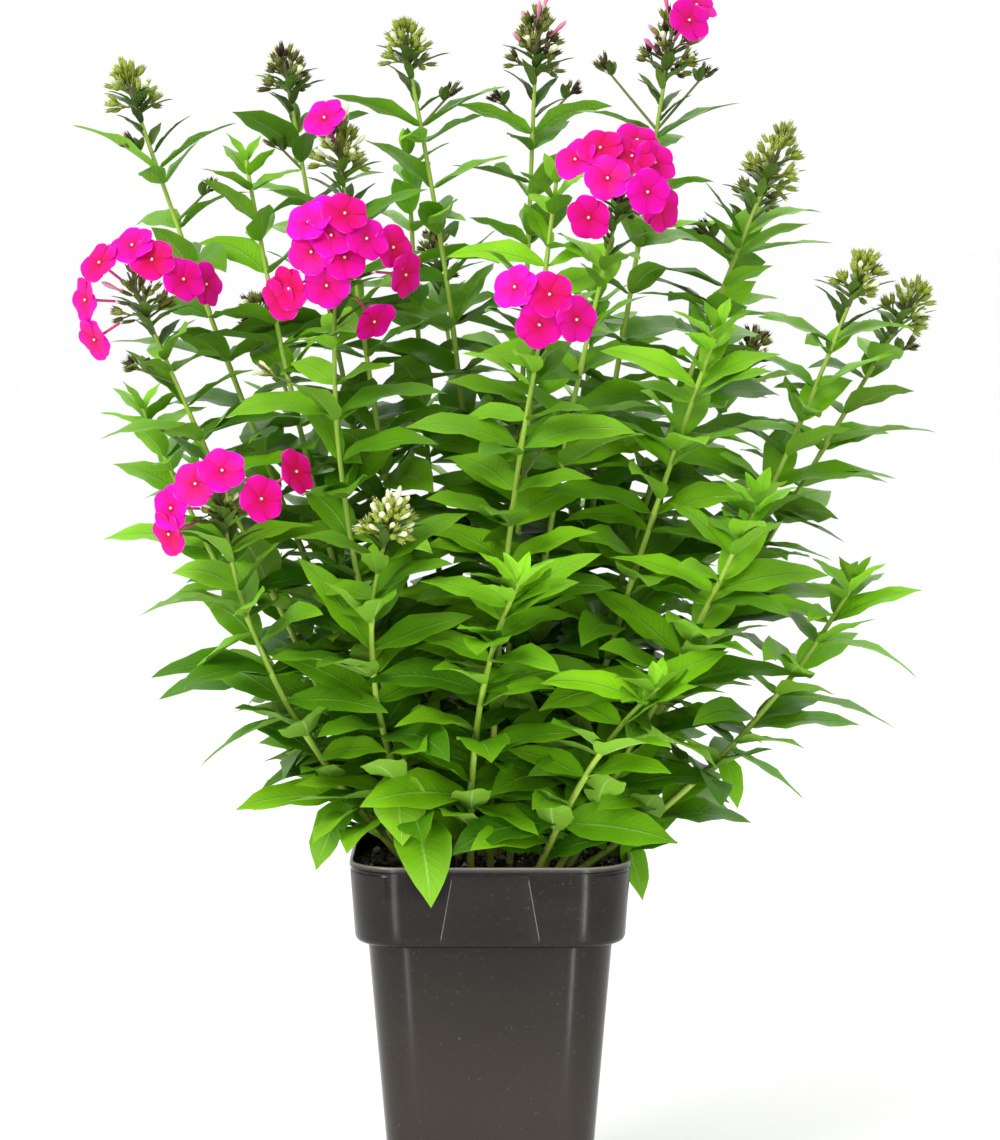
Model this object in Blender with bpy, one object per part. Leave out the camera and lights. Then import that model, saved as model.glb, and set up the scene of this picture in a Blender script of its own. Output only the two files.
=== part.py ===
"""Garden phlox in a square nursery pot, modelled in metres with +Z up.

The origin is the centre of the pot's flat base. +X is to the right of the pot's label side and -Y
points out of it. Leafy stems stand in holes in the soil, flower heads sit on the stems' tips and
florets stand on the heads' calyxes. Leaves are turned, raised or shortened until they clear
everything that was placed before them.
"""

import math
import random
from collections import namedtuple
from itertools import product

import bmesh
import bpy
from mathutils import Matrix, Vector
from mathutils.bvhtree import BVHTree

MM = 0.001

# Pot, in metres. Widths are across the flats of the rounded square.
POT_HEIGHT = 235 * MM
RIM_WIDTH = 172 * MM
COLLAR_HEIGHT = 50 * MM
COLLAR_FOOT_WIDTH = 165 * MM
WALL_TOP_WIDTH = 150 * MM
BASE_WIDTH = 119 * MM
WALL = 1.6 * MM
RIM_CORNER = 32 * MM
BASE_CORNER = 22 * MM
CORNER_STEPS = 4
DRAIN_RADIUS = 5 * MM
PANEL_TOP = 46 * MM
PANEL_FOOT = 60 * MM
PANEL_RELIEF = 0.8 * MM

# Soil and the holes that the stems stand in.
SOIL_LEVEL = POT_HEIGHT - 15 * MM
SOIL_CROWN = 5 * MM
GAP = 0.4 * MM
ROOTED = 18 * MM

# Stems and leaves.
FOOT_RADIUS = 2.8 * MM
TIP_RADIUS = 1.5 * MM
STEM_STEPS = 4
BLADE_THICKNESS = 1.0 * MM
KEEL = 0.08
BLADE_STATIONS = (0.27, 0.62)
SMALL_STATIONS = (0.42,)
SMALL_BLADE = 78 * MM
CLEARANCE = 1.0 * MM
MOST_RISE = math.radians(75)
PLANT_MIDDLE = (0, 60 * MM)

# Flower heads and florets.
FLORET_RADIUS = 14.5 * MM
TUBE_LENGTH = 19 * MM
TUBE_RADIUS = 1.4 * MM
BUD_LENGTH = 10 * MM
BUD_RADIUS = 1.7 * MM
DOME_DEPTH = 0.62
DOME_PUSHES = (0, 1.5, 3, -1.5, 4.5, 6, -3, 7.5, 9, -4.5, 10.5, 12, -6, 0)
GOLDEN_ANGLE = math.radians(137.5)

Stem = namedtuple("Stem", "name foot middle tip pairs turn crown")
Head = namedtuple("Head", "height radius buds dome front back")
Leaf = namedtuple("Leaf", "root azimuth rise arch length width roll")

# Each stem: its foot on the soil (x, y), the point it passes half way up and its tip (x, y, z), all
# in millimetres, then its pairs of leaves, the first pair's turn in degrees and what crowns it.
STEMS = (
    Stem("left_tall", (-34, 24), (-134, 48, 452), (-221, 62, 688), 7, 10, "bud_head"),
    Stem("left_back", (-22, 38), (-82, 74, 466), (-127, 84, 700), 7, 40, "bud_head"),
    Stem("left_young", (-40, 6), (-106, 22, 440), (-153, 38, 664), 6, 0, "rosette"),
    Stem("left_single", (-20, 14), (-62, 30, 440), (-91, 15, 647), 7, 20, "head"),
    Stem("left_cluster", (-29, -13), (-82, -38, 412), (-93, -62, 576), 6, 5, "head"),
    Stem("middle_left", (-6, 32), (-14, 46, 470), (-50, 52, 715), 7, 15, "bud_head"),
    Stem("middle_left_young", (-11, 54), (-38, 88, 446), (-53, 100, 668), 6, 50, "rosette"),
    Stem("middle_tall", (7, 47), (18, 68, 462), (28, 78, 712), 7, 0, "bud_head"),
    Stem("right_tall", (19, 33), (68, 50, 462), (109, 58, 709), 7, 5, "head"),
    Stem("right_cluster", (12, -4), (35, -20, 424), (75, -42, 620), 6, 30, "head"),
    Stem("middle_young", (4, 14), (17, 6, 426), (41, 4, 650), 6, 70, "rosette"),
    Stem("right_green", (35, 14), (94, 20, 438), (169, 28, 641), 7, 20, "bud_head"),
    Stem("right_back", (38, 33), (102, 68, 430), (166, 84, 627), 6, 60, "bud_head"),
    Stem("right_outer", (50, 2), (145, 2, 396), (221, -6, 573), 7, 10, "bud_head"),
    Stem("right_edge", (52, 19), (156, 32, 392), (252, 24, 555), 6, 0, "bud_head"),
    Stem("right_bright", (34, -13), (84, -48, 398), (137, -76, 562), 7, 15, "rosette"),
    Stem("right_front", (40, -32), (106, -72, 344), (160, -104, 462), 6, 10, "rosette"),
    Stem("right_low", (55, -16), (150, -36, 304), (223, -38, 404), 5, 5, "rosette"),
    Stem("right_short", (28, -40), (62, -84, 298), (100, -122, 350), 3, 20, "rosette"),
    Stem("front_young", (-12, -36), (-6, -92, 334), (18, -146, 416), 5, 8, "rosette"),
    Stem("front_cluster", (0, -16), (8, -66, 400), (30, -98, 554), 6, 0, "head"),
    Stem("front_left", (-32, -32), (-68, -84, 336), (-62, -128, 435), 5, 25, "bud_head"),
    Stem("left_loose", (-48, -19), (-124, -66, 334), (-157, -98, 441), 5, 12, "head"),
    Stem("left_outer", (-52, 0), (-138, -12, 402), (-207, -24, 559), 6, 20, "head"),
    Stem("left_edge", (-55, 19), (-138, 28, 345), (-220, 42, 508), 6, 0, "rosette"),
    Stem("rear_left", (-32, 50), (-96, 122, 404), (-148, 172, 545), 4, 30, "bud_head"),
    Stem("rear_middle", (-2, 62), (-14, 142, 424), (-34, 192, 580), 4, 15, "head"),
    Stem("rear_right", (24, 56), (52, 138, 424), (70, 184, 570), 5, 60, "rosette"),
    Stem("rear_outer_right", (44, 46), (104, 112, 390), (162, 150, 520), 5, 20, "head"),
    Stem("rear_outer_left", (-50, 37), (-124, 88, 352), (-192, 122, 466), 4, 45, "rosette"),
)

# Each head, on the stem of that name: its height and half width in millimetres, its buds, the radius
# of the dome that its florets lie on, and the florets' places across and above its middle, first
# those that face the label's side of the pot, then those that face away.
HEADS = {
    "left_tall": Head(38, 14, 9, 0, (), ()),
    "left_back": Head(34, 14, 9, 0, (), ()),
    "left_single": Head(44, 18, 10, 28, ((-11, 17),), ()),
    "left_cluster": Head(
        54, 20, 4, 42,
        (
            (-1, 12), (-6, 31), (7, 25), (-15, 20), (20, 10), (-13, 2), (7, -1), (-27, -20), (-4, -18),
            (-38, -30), (37, 5), (43, -12), (24, -40),
        ),
        (),
    ),
    "middle_left": Head(34, 14, 9, 0, (), ()),
    "middle_tall": Head(48, 20, 12, 0, (), ()),
    "right_tall": Head(52, 20, 11, 30, ((20, 22), (12, 8)), ()),
    "right_cluster": Head(
        44, 17, 3, 38,
        ((10, 20), (-9, 25), (15, 34), (-24, 18), (24, 16), (-4, 4), (15, -3), (28, -12), (-16, -17)),
        (),
    ),
    "right_green": Head(50, 18, 11, 0, (), ()),
    "right_back": Head(40, 14, 8, 0, (), ()),
    "right_outer": Head(34, 14, 9, 0, (), ()),
    "right_edge": Head(36, 15, 9, 0, (), ()),
    "front_cluster": Head(40, 15, 4, 42, ((5, 7), (-17, 13), (-1, -11), (21, -8)), ()),
    "front_left": Head(30, 14, 10, 0, (), ()),
    "left_loose": Head(40, 18, 6, 44, ((0, 17), (-16, 9), (-34, -6), (-33, -22), (23, 0), (43, 15)), ()),
    "left_outer": Head(
        44, 20, 6, 40, ((3, 19), (-10, 29), (-30, 17), (-38, -6), (-29, -27), (22, 7), (39, 5)), ()
    ),
    "rear_left": Head(32, 13, 8, 0, (), ()),
    "rear_middle": Head(40, 15, 8, 0, (), ()),
    "rear_outer_right": Head(38, 15, 8, 0, (), ()),
}

# Bud sprays on thin side branches below a head: the stem's name, the share of the stem's height
# where the branch leaves, its direction in degrees, its length and its rise in millimetres.
SPRAYS = (
    ("left_tall", 0.93, 200, 16, 14), ("left_tall", 0.86, 5, 20, 20), ("left_back", 0.90, 185, 16, 16),
    ("middle_left", 0.93, 10, 18, 20), ("middle_tall", 0.93, 190, 22, 22), ("middle_tall", 0.93, -5, 24, 26),
    ("right_tall", 0.94, 170, 32, 38), ("right_tall", 0.94, 10, 30, 34), ("right_edge", 0.92, 0, 22, 14),
    ("left_cluster", 0.80, 175, 40, 18), ("front_cluster", 0.70, 15, 32, 44),
    ("right_green", 0.90, 185, 18, 14), ("left_outer", 0.88, 195, 24, 10),
)

LEAF_GREEN = (0.13, 0.35, 0.03)
BUD_GREEN = (0.12, 0.13, 0.04)
PETAL_MAGENTA = (0.83, 0.01, 0.30)
POT_GREY = (0.045, 0.042, 0.038)
SOIL_BROWN = (0.035, 0.022, 0.014)


def material(name, colour, roughness):
    made = bpy.data.materials.new(name)
    made.use_nodes = True
    shader = made.node_tree.nodes["Principled BSDF"]
    shader.inputs["Base Color"].default_value = (*colour, 1)
    shader.inputs["Roughness"].default_value = roughness
    shader.inputs["Metallic"].default_value = 0
    return made


def loft(name, rings):
    """A closed mesh object through rings of points. A ring of one point closes an end to a tip.

    The diagonals alternate round a ring, so that both faces of a blade split alike."""
    mesh = bmesh.new()
    rows = [[mesh.verts.new(point) for point in ring] for ring in rings]
    for low, high in zip(rows, rows[1:]):
        count = max(len(low), len(high))
        for j in range(count):
            k = (j + 1) % count
            if len(low) == 1:
                mesh.faces.new((low[0], high[k], high[j]))
            elif len(high) == 1:
                mesh.faces.new((low[j], low[k], high[0]))
            elif j % 2 == 0:
                mesh.faces.new((low[j], low[k], high[k]))
                mesh.faces.new((low[j], high[k], high[j]))
            else:
                mesh.faces.new((low[j], low[k], high[j]))
                mesh.faces.new((low[k], high[k], high[j]))
    for row in (rows[0], rows[-1]):
        if len(row) > 1:
            mesh.faces.new(row)
    bmesh.ops.recalc_face_normals(mesh, faces=mesh.faces)
    data = bpy.data.meshes.new(name)
    mesh.to_mesh(data)
    mesh.free()
    return bpy.data.objects.new(name, data)


def cylinder(name, radius, low, high, sides):
    """A closed cylinder of few sides from low to high."""
    mesh = bmesh.new()
    axis = high - low
    place = Matrix.Translation((low + high) / 2) @ axis.to_track_quat("Z", "Y").to_matrix().to_4x4()
    bmesh.ops.create_cone(
        mesh, cap_ends=True, segments=sides, radius1=radius, radius2=radius, depth=axis.length, matrix=place
    )
    data = bpy.data.meshes.new(name)
    mesh.to_mesh(data)
    mesh.free()
    return bpy.data.objects.new(name, data)


def evaluated_copy(obj):
    """A mesh object in the place of obj, with its modifiers or its curve's bevel applied."""
    bpy.context.view_layer.update()
    graph = bpy.context.evaluated_depsgraph_get()
    data = bpy.data.meshes.new_from_object(obj.evaluated_get(graph))
    name, place = obj.name, obj.matrix_world.copy()
    bpy.data.objects.remove(obj)
    made = bpy.data.objects.new(name, data)
    made.matrix_world = place
    return made


def combine(base, others, operation):
    """base with the others joined to it or cut from it in one Boolean, applied."""
    helpers = bpy.data.collections.new(base.name + "_helpers")
    bpy.context.scene.collection.children.link(helpers)
    for other in others:
        other.hide_render = True
        other.display_type = "WIRE"
        helpers.objects.link(other)
    bpy.context.scene.collection.objects.link(base)
    boolean = base.modifiers.new("combine", "BOOLEAN")
    boolean.operation = operation
    boolean.operand_type = "COLLECTION"
    boolean.collection = helpers
    boolean.solver = "MANIFOLD"
    made = evaluated_copy(base)
    for other in list(helpers.objects):
        bpy.data.objects.remove(other)
    bpy.data.collections.remove(helpers)
    return made


def keep(obj, finish, parts):
    """Puts a finished solid in the part's collection with its material."""
    obj.data.materials.clear()
    obj.data.materials.append(finish)
    parts.objects.link(obj)
    return obj


def rounded_square(width, corner, z):
    """The outline of a square of that width with rounded corners, at height z."""
    points = []
    inset = width / 2 - corner
    for quarter in range(4):
        for step in range(CORNER_STEPS + 1):
            angle = math.radians(90) * (quarter + step / CORNER_STEPS)
            corner_x = inset if quarter in (0, 3) else -inset
            corner_y = inset if quarter in (0, 1) else -inset
            x = corner_x + corner * math.cos(angle)
            y = corner_y + corner * math.sin(angle)
            points.append(Vector((x, y, z)))
    return points


def pot_width(z):
    """The wall's outer width at height z, below the collar."""
    share = z / (POT_HEIGHT - COLLAR_HEIGHT)
    return BASE_WIDTH + (WALL_TOP_WIDTH - BASE_WIDTH) * share


def pot():
    """The tapered pot with its collar, the label panel and drain holes in its base."""
    step = POT_HEIGHT - COLLAR_HEIGHT
    floor = 2.5 * MM
    outer = (
        (BASE_WIDTH - 3 * MM, BASE_CORNER, 0),
        (BASE_WIDTH, BASE_CORNER, 1.5 * MM),
        (WALL_TOP_WIDTH, BASE_CORNER + 6 * MM, step),
        (COLLAR_FOOT_WIDTH - 3 * MM, RIM_CORNER - 3 * MM, step + 0.5 * MM),
        (COLLAR_FOOT_WIDTH, RIM_CORNER - 2 * MM, step + 3 * MM),
        (RIM_WIDTH, RIM_CORNER, POT_HEIGHT - 1 * MM),
        (RIM_WIDTH - 1 * MM, RIM_CORNER, POT_HEIGHT),
    )
    inner = (
        (RIM_WIDTH - 2 * WALL, RIM_CORNER - WALL, POT_HEIGHT),
        (COLLAR_FOOT_WIDTH - 2 * WALL, RIM_CORNER - WALL - 2 * MM, step + 5 * MM),
        (WALL_TOP_WIDTH - 2 * WALL, BASE_CORNER + 6 * MM - WALL, step + 2 * MM),
        (pot_width(floor) - 2 * WALL, BASE_CORNER - WALL, floor),
    )
    body = loft("pot", [rounded_square(*ring) for ring in outer + inner])
    body = combine(body, [label_panel(step)], "UNION")
    reach = BASE_WIDTH / 2 - BASE_CORNER
    drains = []
    for x, y in product((-reach, reach), (-reach, reach)):
        drains.append(cylinder("drain", DRAIN_RADIUS, Vector((x, y, -5 * MM)), Vector((x, y, 9 * MM)), 8))
    return combine(body, drains, "DIFFERENCE")


def label_panel(step):
    """The raised label panel on the collar: a trapezium that follows the collar's slope."""
    slope = (RIM_WIDTH - COLLAR_FOOT_WIDTH) / 2 / COLLAR_HEIGHT
    rings = []
    for width, z in ((PANEL_FOOT, step + 5 * MM), (PANEL_TOP, POT_HEIGHT - 5 * MM)):
        skin = -COLLAR_FOOT_WIDTH / 2 - slope * (z - step) - PANEL_RELIEF
        back = skin + PANEL_RELIEF + WALL * 0.6
        half = width / 2
        corners = ((-half, back), (half, back), (half, skin), (-half, skin))
        rings.append([Vector((x, y, z)) for x, y in corners])
    return loft("panel", rings)


def soil(feet):
    """The potting mix: it fills the pot, is crowned at the top and has a plain hole for each stem."""
    gap = GAP
    low = 2.5 * MM + gap
    step = POT_HEIGHT - COLLAR_HEIGHT
    collar_share = (SOIL_LEVEL - step) / COLLAR_HEIGHT
    top_width = COLLAR_FOOT_WIDTH + (RIM_WIDTH - COLLAR_FOOT_WIDTH) * collar_share - 2 * WALL - 2 * gap
    rings = (
        (pot_width(low) - 2 * WALL - 2 * gap, BASE_CORNER - WALL, low),
        (WALL_TOP_WIDTH - 2 * WALL - 2 * gap, BASE_CORNER + 5 * MM - WALL, step + 2.5 * MM),
        (COLLAR_FOOT_WIDTH - 2 * WALL - 3 * gap, RIM_CORNER - WALL - 2 * MM, step + 6 * MM),
        (top_width - gap, RIM_CORNER - WALL - 1 * MM, SOIL_LEVEL - 2 * MM),
        (top_width - 16 * MM, RIM_CORNER - 8 * MM, SOIL_LEVEL),
    )
    crown = [Vector((0, 0, SOIL_LEVEL + SOIL_CROWN))]
    filled = loft("soil", [rounded_square(*ring) for ring in rings] + [crown])
    radius = (FOOT_RADIUS + GAP) / math.cos(math.radians(45))
    holes = []
    for low_end, direction in feet:
        deep = low_end - direction * 2 * GAP
        high = low_end + direction * 3 * ROOTED
        holes.append(cylinder("hole", radius, deep, high, 4))
    return combine(filled, holes, "DIFFERENCE")


def soil_height(x, y):
    """The height of the crowned soil at x, y, near the middle of the pot."""
    half = RIM_WIDTH / 2 - 8 * MM
    return SOIL_LEVEL + SOIL_CROWN * max(0, 1 - max(abs(x), abs(y)) / half)


def bend_point(stem, share):
    """The point of the stem's smooth bend at a share of its way from the soil to its tip."""
    x, y = stem.foot[0] * MM, stem.foot[1] * MM
    foot = Vector((x, y, soil_height(x, y)))
    middle, tip = Vector(stem.middle) * MM, Vector(stem.tip) * MM
    pull = 2 * middle - (foot + tip) / 2
    return foot * (1 - share) ** 2 + pull * 2 * share * (1 - share) + tip * share**2


def ring_round(middle, axis, radius, sides):
    """A regular ring of points about an axis."""
    across = axis.orthogonal().normalized() * radius
    step = math.tau / sides
    return [middle + Matrix.Rotation(step * turn, 3, axis) @ across for turn in range(sides)]


def stem_point(stem, share):
    """The point of the stem's centre line, which runs straight from one of its sections to the next."""
    place = min(max(share, 0), 1) * STEM_STEPS
    low = min(int(place), STEM_STEPS - 1)
    return bend_point(stem, low / STEM_STEPS).lerp(bend_point(stem, (low + 1) / STEM_STEPS), place - low)


def stem_radius(share):
    return FOOT_RADIUS + (TIP_RADIUS - FOOT_RADIUS) * share


def stem_direction(stem, share):
    return (bend_point(stem, share + 0.01) - bend_point(stem, share - 0.01)).normalized()


def stem_tube(stem):
    """The bare stem as a closed tube, tapering to its tip and rooted straight in the soil."""
    curve = bpy.data.curves.new(stem.name, "CURVE")
    curve.dimensions = "3D"
    curve.bevel_depth = 1.0
    curve.bevel_resolution = 0
    curve.use_fill_caps = True
    foot = stem_point(stem, 0)
    points = [foot - stem_direction(stem, 0) * ROOTED]
    points += [stem_point(stem, step / STEM_STEPS) for step in range(STEM_STEPS + 1)]
    spline = curve.splines.new("POLY")
    spline.points.add(len(points) - 1)
    for step, (spot, point) in enumerate(zip(spline.points, points)):
        share = max(0, step - 1) / STEM_STEPS
        spot.co = (*point, 1)
        spot.radius = stem_radius(share)
    tube = bpy.data.objects.new("stem_" + stem.name, curve)
    bpy.context.scene.collection.objects.link(tube)
    made = evaluated_copy(tube)
    mesh = bmesh.new()
    mesh.from_mesh(made.data)
    bmesh.ops.remove_doubles(mesh, verts=mesh.verts, dist=1e-5)
    bmesh.ops.recalc_face_normals(mesh, faces=mesh.faces)
    mesh.to_mesh(made.data)
    mesh.free()
    return made


def blade_frame(leaf, share):
    """The midrib's point at a share of the blade's length, with its side and upward directions."""
    heading = Vector((math.cos(leaf.azimuth), math.sin(leaf.azimuth), 0))
    slope = leaf.rise - leaf.arch * share
    out = (math.sin(leaf.rise) - math.sin(slope)) / leaf.arch
    up = (math.cos(slope) - math.cos(leaf.rise)) / leaf.arch
    point = leaf.root + (heading * out + Vector((0, 0, 1)) * up) * leaf.length
    side = Vector((-heading.y, heading.x, 0))
    up = (heading * math.cos(slope) + Vector((0, 0, math.sin(slope)))).cross(side)
    turned = side * math.cos(leaf.roll) + up * math.sin(leaf.roll)
    return point, turned, up * math.cos(leaf.roll) - side * math.sin(leaf.roll)


def blade_half_width(leaf, share):
    """The lance shape of a phlox leaf: widest two fifths of the way up, drawn out to the tip."""
    widest = 0.41**0.8 * 0.59**1.15
    return 1.06 * leaf.width / 2 * share**0.8 * (1 - share) ** 1.15 / widest


def blade_rings(leaf):
    """Rings for a keeled blade: a point, the two edges and the keel at each station, and the tip."""
    rings = [[leaf.root]]
    for share in stations(leaf):
        point, side, up = blade_frame(leaf, share)
        half = blade_half_width(leaf, share)
        top = point + up * (BLADE_THICKNESS / 2)
        keel = point - up * (BLADE_THICKNESS / 2 + KEEL * half)
        rings.append([top + side * half, top - side * half, keel])
    rings.append([blade_frame(leaf, 1)[0]])
    return rings


def blade_room(leaf):
    """Rings for the room that a blade asks for: a flat box that stands off it on all sides."""
    rings = [[leaf.root]]
    for share in stations(leaf):
        point, side, up = blade_frame(leaf, share)
        half = blade_half_width(leaf, share)
        wide = side * (half + CLEARANCE)
        top = point + up * (BLADE_THICKNESS / 2 + CLEARANCE)
        foot = point - up * (BLADE_THICKNESS / 2 + KEEL * half + CLEARANCE)
        rings.append([top + wide, top - wide, foot - wide, foot + wide])
    rings.append([blade_frame(leaf, 1 + CLEARANCE / leaf.length)[0]])
    return rings


def tree_of(rings):
    """A search tree of a loft's triangles."""
    points, faces, starts = [], [], []
    for ring in rings:
        starts.append(len(points))
        points += ring
    for i in range(len(rings) - 1):
        low, high = len(rings[i]), len(rings[i + 1])
        count = max(low, high)
        for j in range(count):
            k = (j + 1) % count
            a, b = starts[i] + j % low, starts[i] + k % low
            c, d = starts[i + 1] + k % high, starts[i + 1] + j % high
            if low > 1:
                faces.append((a, b, c))
            if high > 1:
                faces.append((a, c, d))
    return BVHTree.FromPolygons(points, faces), points


class Room:
    """What is already in the plant, so that a new blade can be tried against it."""

    def __init__(self):
        self.trees = []

    def box(self, points):
        low = [min(point[i] for point in points) - 2 * CLEARANCE for i in range(3)]
        high = [max(point[i] for point in points) + 2 * CLEARANCE for i in range(3)]
        return low, high

    def add(self, owner, rings):
        tree, points = tree_of(rings)
        self.trees.append((owner, tree, self.box(points)))

    def is_free(self, owner, rings):
        tree, points = tree_of(rings)
        low, high = self.box(points)
        for other_owner, other, (other_low, other_high) in self.trees:
            if other_owner == owner:
                continue
            if any(low[i] > other_high[i] or other_low[i] > high[i] for i in range(3)):
                continue
            if tree.overlap(other):
                return False
        return True


def tries():
    """Changes to a blade, the smallest first: turn and rise in radians, and share of length."""
    turns = [math.radians(angle) for angle in (0, 12, -12, 24, -24, 38, -38)]
    rises = [math.radians(angle) for angle in (0, 12, -12, 24, -24, 36)]
    shares = (1, 0.88, 0.76, 0.62)
    changes = list(product(turns, rises, shares))
    return sorted(changes, key=lambda change: abs(change[0]) + 1.2 * abs(change[1]) + 2.2 * (1 - change[2]))


def place_blade(room, owner, leaf, changes):
    """The blade as near to leaf as the room allows, or None."""
    for turn, rise, share in changes:
        tried = leaf._replace(
            azimuth=leaf.azimuth + turn,
            rise=min(leaf.rise + rise, MOST_RISE),
            length=leaf.length * share,
            width=leaf.width * share,
        )
        if room.is_free(owner, blade_room(tried)):
            room.add(owner, blade_rings(tried))
            return tried
    return None


def leaf_root(stem, share, azimuth):
    """A blade's root: inside the stem, on the blade's own side."""
    heading = Vector((math.cos(azimuth), math.sin(azimuth), 0))
    return stem_point(stem, share) + heading * 0.3 * stem_radius(share)


def leaf_roll(root, azimuth, draw):
    """A blade's roll about its midrib, which turns its upper face away from the plant's middle."""
    outward = (root.xy - Vector(PLANT_MIDDLE)).normalized()
    across = Vector((-math.sin(azimuth), math.cos(azimuth)))
    return -outward.dot(across) * math.radians(34) + math.radians(draw.uniform(-12, 12))


def stations(leaf):
    """Where a blade's sections lie: a small one needs only the widest."""
    return SMALL_STATIONS if leaf.length < SMALL_BLADE else BLADE_STATIONS


def wished_leaves(stem):
    """The opposite pairs that the stem would carry with nothing in their way, from the top down."""
    draw = random.Random(stem.name)
    leaves = []
    lowest = 0.17 if stem.tip[2] > 500 else 0.22
    highest = 0.93 if stem.crown != "rosette" else 0.88
    for pair in range(stem.pairs):
        share = lowest + (highest - lowest) * pair / (stem.pairs - 1)
        height = stem_point(stem, share).z - SOIL_LEVEL
        low = max(0, 1 - height / (110 * MM))
        top = max(0, share - 0.62) / 0.38
        for side in (0, 1):
            length = (78 - 10 * low - 26 * top) * MM * draw.uniform(0.9, 1.1)
            azimuth = math.radians(stem.turn + 90 * pair + 180 * side + draw.uniform(-14, 14))
            leaves.append(
                Leaf(
                    root=leaf_root(stem, share, azimuth),
                    azimuth=azimuth,
                    rise=math.radians(26 + 16 * top - 8 * low + draw.uniform(-9, 9)),
                    arch=math.radians(46 + draw.uniform(-14, 14)),
                    length=length,
                    width=length * (0.37 + 0.08 * low - 0.04 * top),
                    roll=leaf_roll(stem_point(stem, share), azimuth, draw),
                )
            )
    return leaves[::-1]


def rosette_leaves(stem):
    """The young leaves round a growing tip, shorter and steeper towards the middle."""
    draw = random.Random(stem.name + "_rosette")
    leaves = []
    for pair in range(3):
        for side in (0, 1):
            length = (44 - 10 * pair) * MM * draw.uniform(0.9, 1.1)
            azimuth = math.radians(stem.turn + 45 + 90 * pair + 180 * side + draw.uniform(-10, 10))
            leaves.append(
                Leaf(
                    root=leaf_root(stem, 0.95 + 0.02 * pair, azimuth),
                    azimuth=azimuth,
                    rise=math.radians(34 + 16 * pair),
                    arch=math.radians(34),
                    length=length,
                    width=length * 0.36,
                    roll=0.0,
                )
            )
    return leaves


def bud_rings(root, tip, radius):
    """A bud or calyx on its stalk: a three-sided spindle, fattest near its tip."""
    axis = (tip - root).normalized()
    middle = tip - axis * min(BUD_LENGTH * 0.6, (tip - root).length * 0.55)
    return [[root], ring_round(middle, axis, radius, 3), [tip]]


def floret_rings(centre, facing):
    """A corolla: five broad lobes in a shallow dish, with its eye a little sunk."""
    across = facing.orthogonal().normalized()
    ring = []
    for step in range(15):
        notch = step % 3 == 0
        reach = FLORET_RADIUS * (0.80 if notch else 1.0)
        lift = -0.9 * MM if notch else 0.6 * MM
        angle = math.radians(24) * step + (0 if notch else math.radians(3) * (1 if step % 3 == 1 else -1))
        ring.append(centre + Matrix.Rotation(angle, 3, facing) @ across * reach + facing * lift)
    return [[centre - facing * 0.6 * MM], ring, [centre - facing * 3.4 * MM]]


def tube_rings(centre, facing, sunk=0.0):
    """The corolla's tube, from behind its eye to a point in the calyx's mouth, or sunk in it."""
    mouth = centre - facing * 1.6 * MM
    return [ring_round(mouth, facing, TUBE_RADIUS, 3), [centre - facing * (TUBE_LENGTH + sunk)]]


def head_middle(stem):
    head = HEADS[stem.name]
    return Vector(stem.tip) * MM + Vector((0, 0, head.height * 0.5 * MM))


def head_florets(stem):
    """Centre and facing of each floret of a head, on a dome round its middle.

    A floret is moved in or out a little where that lets it overlap one that is already there."""
    head = HEADS[stem.name]
    middle = head_middle(stem)
    found, trees = [], []
    for side, places in ((-1, head.front), (1, head.back)):
        for across, above in places:
            left = max(head.dome**2 - across**2 - above**2, (0.3 * head.dome) ** 2)
            depth = DOME_DEPTH * math.sqrt(left)
            outward = Vector((across, side * depth, above + 8)).normalized()
            for push in DOME_PUSHES:
                centre = middle + (Vector((across, side * depth, above)) + outward * push) * MM
                tree = tree_of(floret_rings(centre, outward))[0]
                if not trees or any(tree.overlap(other) for other in trees):
                    break
            found.append((centre, outward))
            trees.append(tree)
    return found


def head_buds(stem, florets):
    """Root and tip of each bud: calyxes under the florets, then closed buds in a golden spiral."""
    head = HEADS[stem.name]
    axis = stem_direction(stem, 0.97)
    foot = Vector(stem.tip) * MM + axis * GAP
    across = axis.orthogonal().normalized()
    buds = []
    for centre, facing in florets:
        calyx = centre - facing * (TUBE_LENGTH + GAP)
        rise = (calyx - foot).dot(axis) * 0.6
        buds.append((foot + axis * max(rise, 3 * MM), calyx))
    for number in range(head.buds):
        share = (number + 0.5) / head.buds
        lean = math.radians(78 - 64 * share)
        around = Matrix.Rotation(GOLDEN_ANGLE * number, 3, axis) @ across
        root = foot + axis * (head.height * MM * (0.12 + 0.55 * share))
        reach = head.radius * MM * (1.05 - 0.25 * share)
        tip = root + around * (reach * math.sin(lean)) + axis * (reach * math.cos(lean) + 3 * MM)
        buds.append((root, tip))
    return foot, axis, buds


def clear_of_tubes(tip, root, florets):
    """Whether a bud keeps away from every floret's tube and face."""
    for centre, facing in florets:
        for along in range(0, 20, 3):
            spot = centre - facing * along * MM
            for share in (0.5, 0.75, 1.0):
                if (root.lerp(tip, share) - spot).length < 4.5 * MM:
                    return False
        away = tip - centre
        if abs(away.dot(facing)) < 4 * MM and away.length < FLORET_RADIUS * 1.15:
            return False
    return True


def head_pieces(stem):
    """The rings of a head's stalk, of its buds and calyxes, and its florets."""
    head = HEADS[stem.name]
    florets = head_florets(stem)
    foot, axis, buds = head_buds(stem, florets)
    height = head.height * MM
    stalk = [
        ring_round(foot, axis, TIP_RADIUS, 3),
        ring_round(foot + axis * height * 0.5, axis, 1.4 * TIP_RADIUS, 3),
        [foot + axis * height * 0.8],
    ]
    kept = [bud_rings(root, tip, BUD_RADIUS * 0.8) for root, tip in buds[: len(florets)]]
    for root, tip in buds[len(florets):]:
        if clear_of_tubes(tip, root, florets):
            kept.append(bud_rings(root, tip, BUD_RADIUS))
    return stalk, kept, florets


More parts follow.
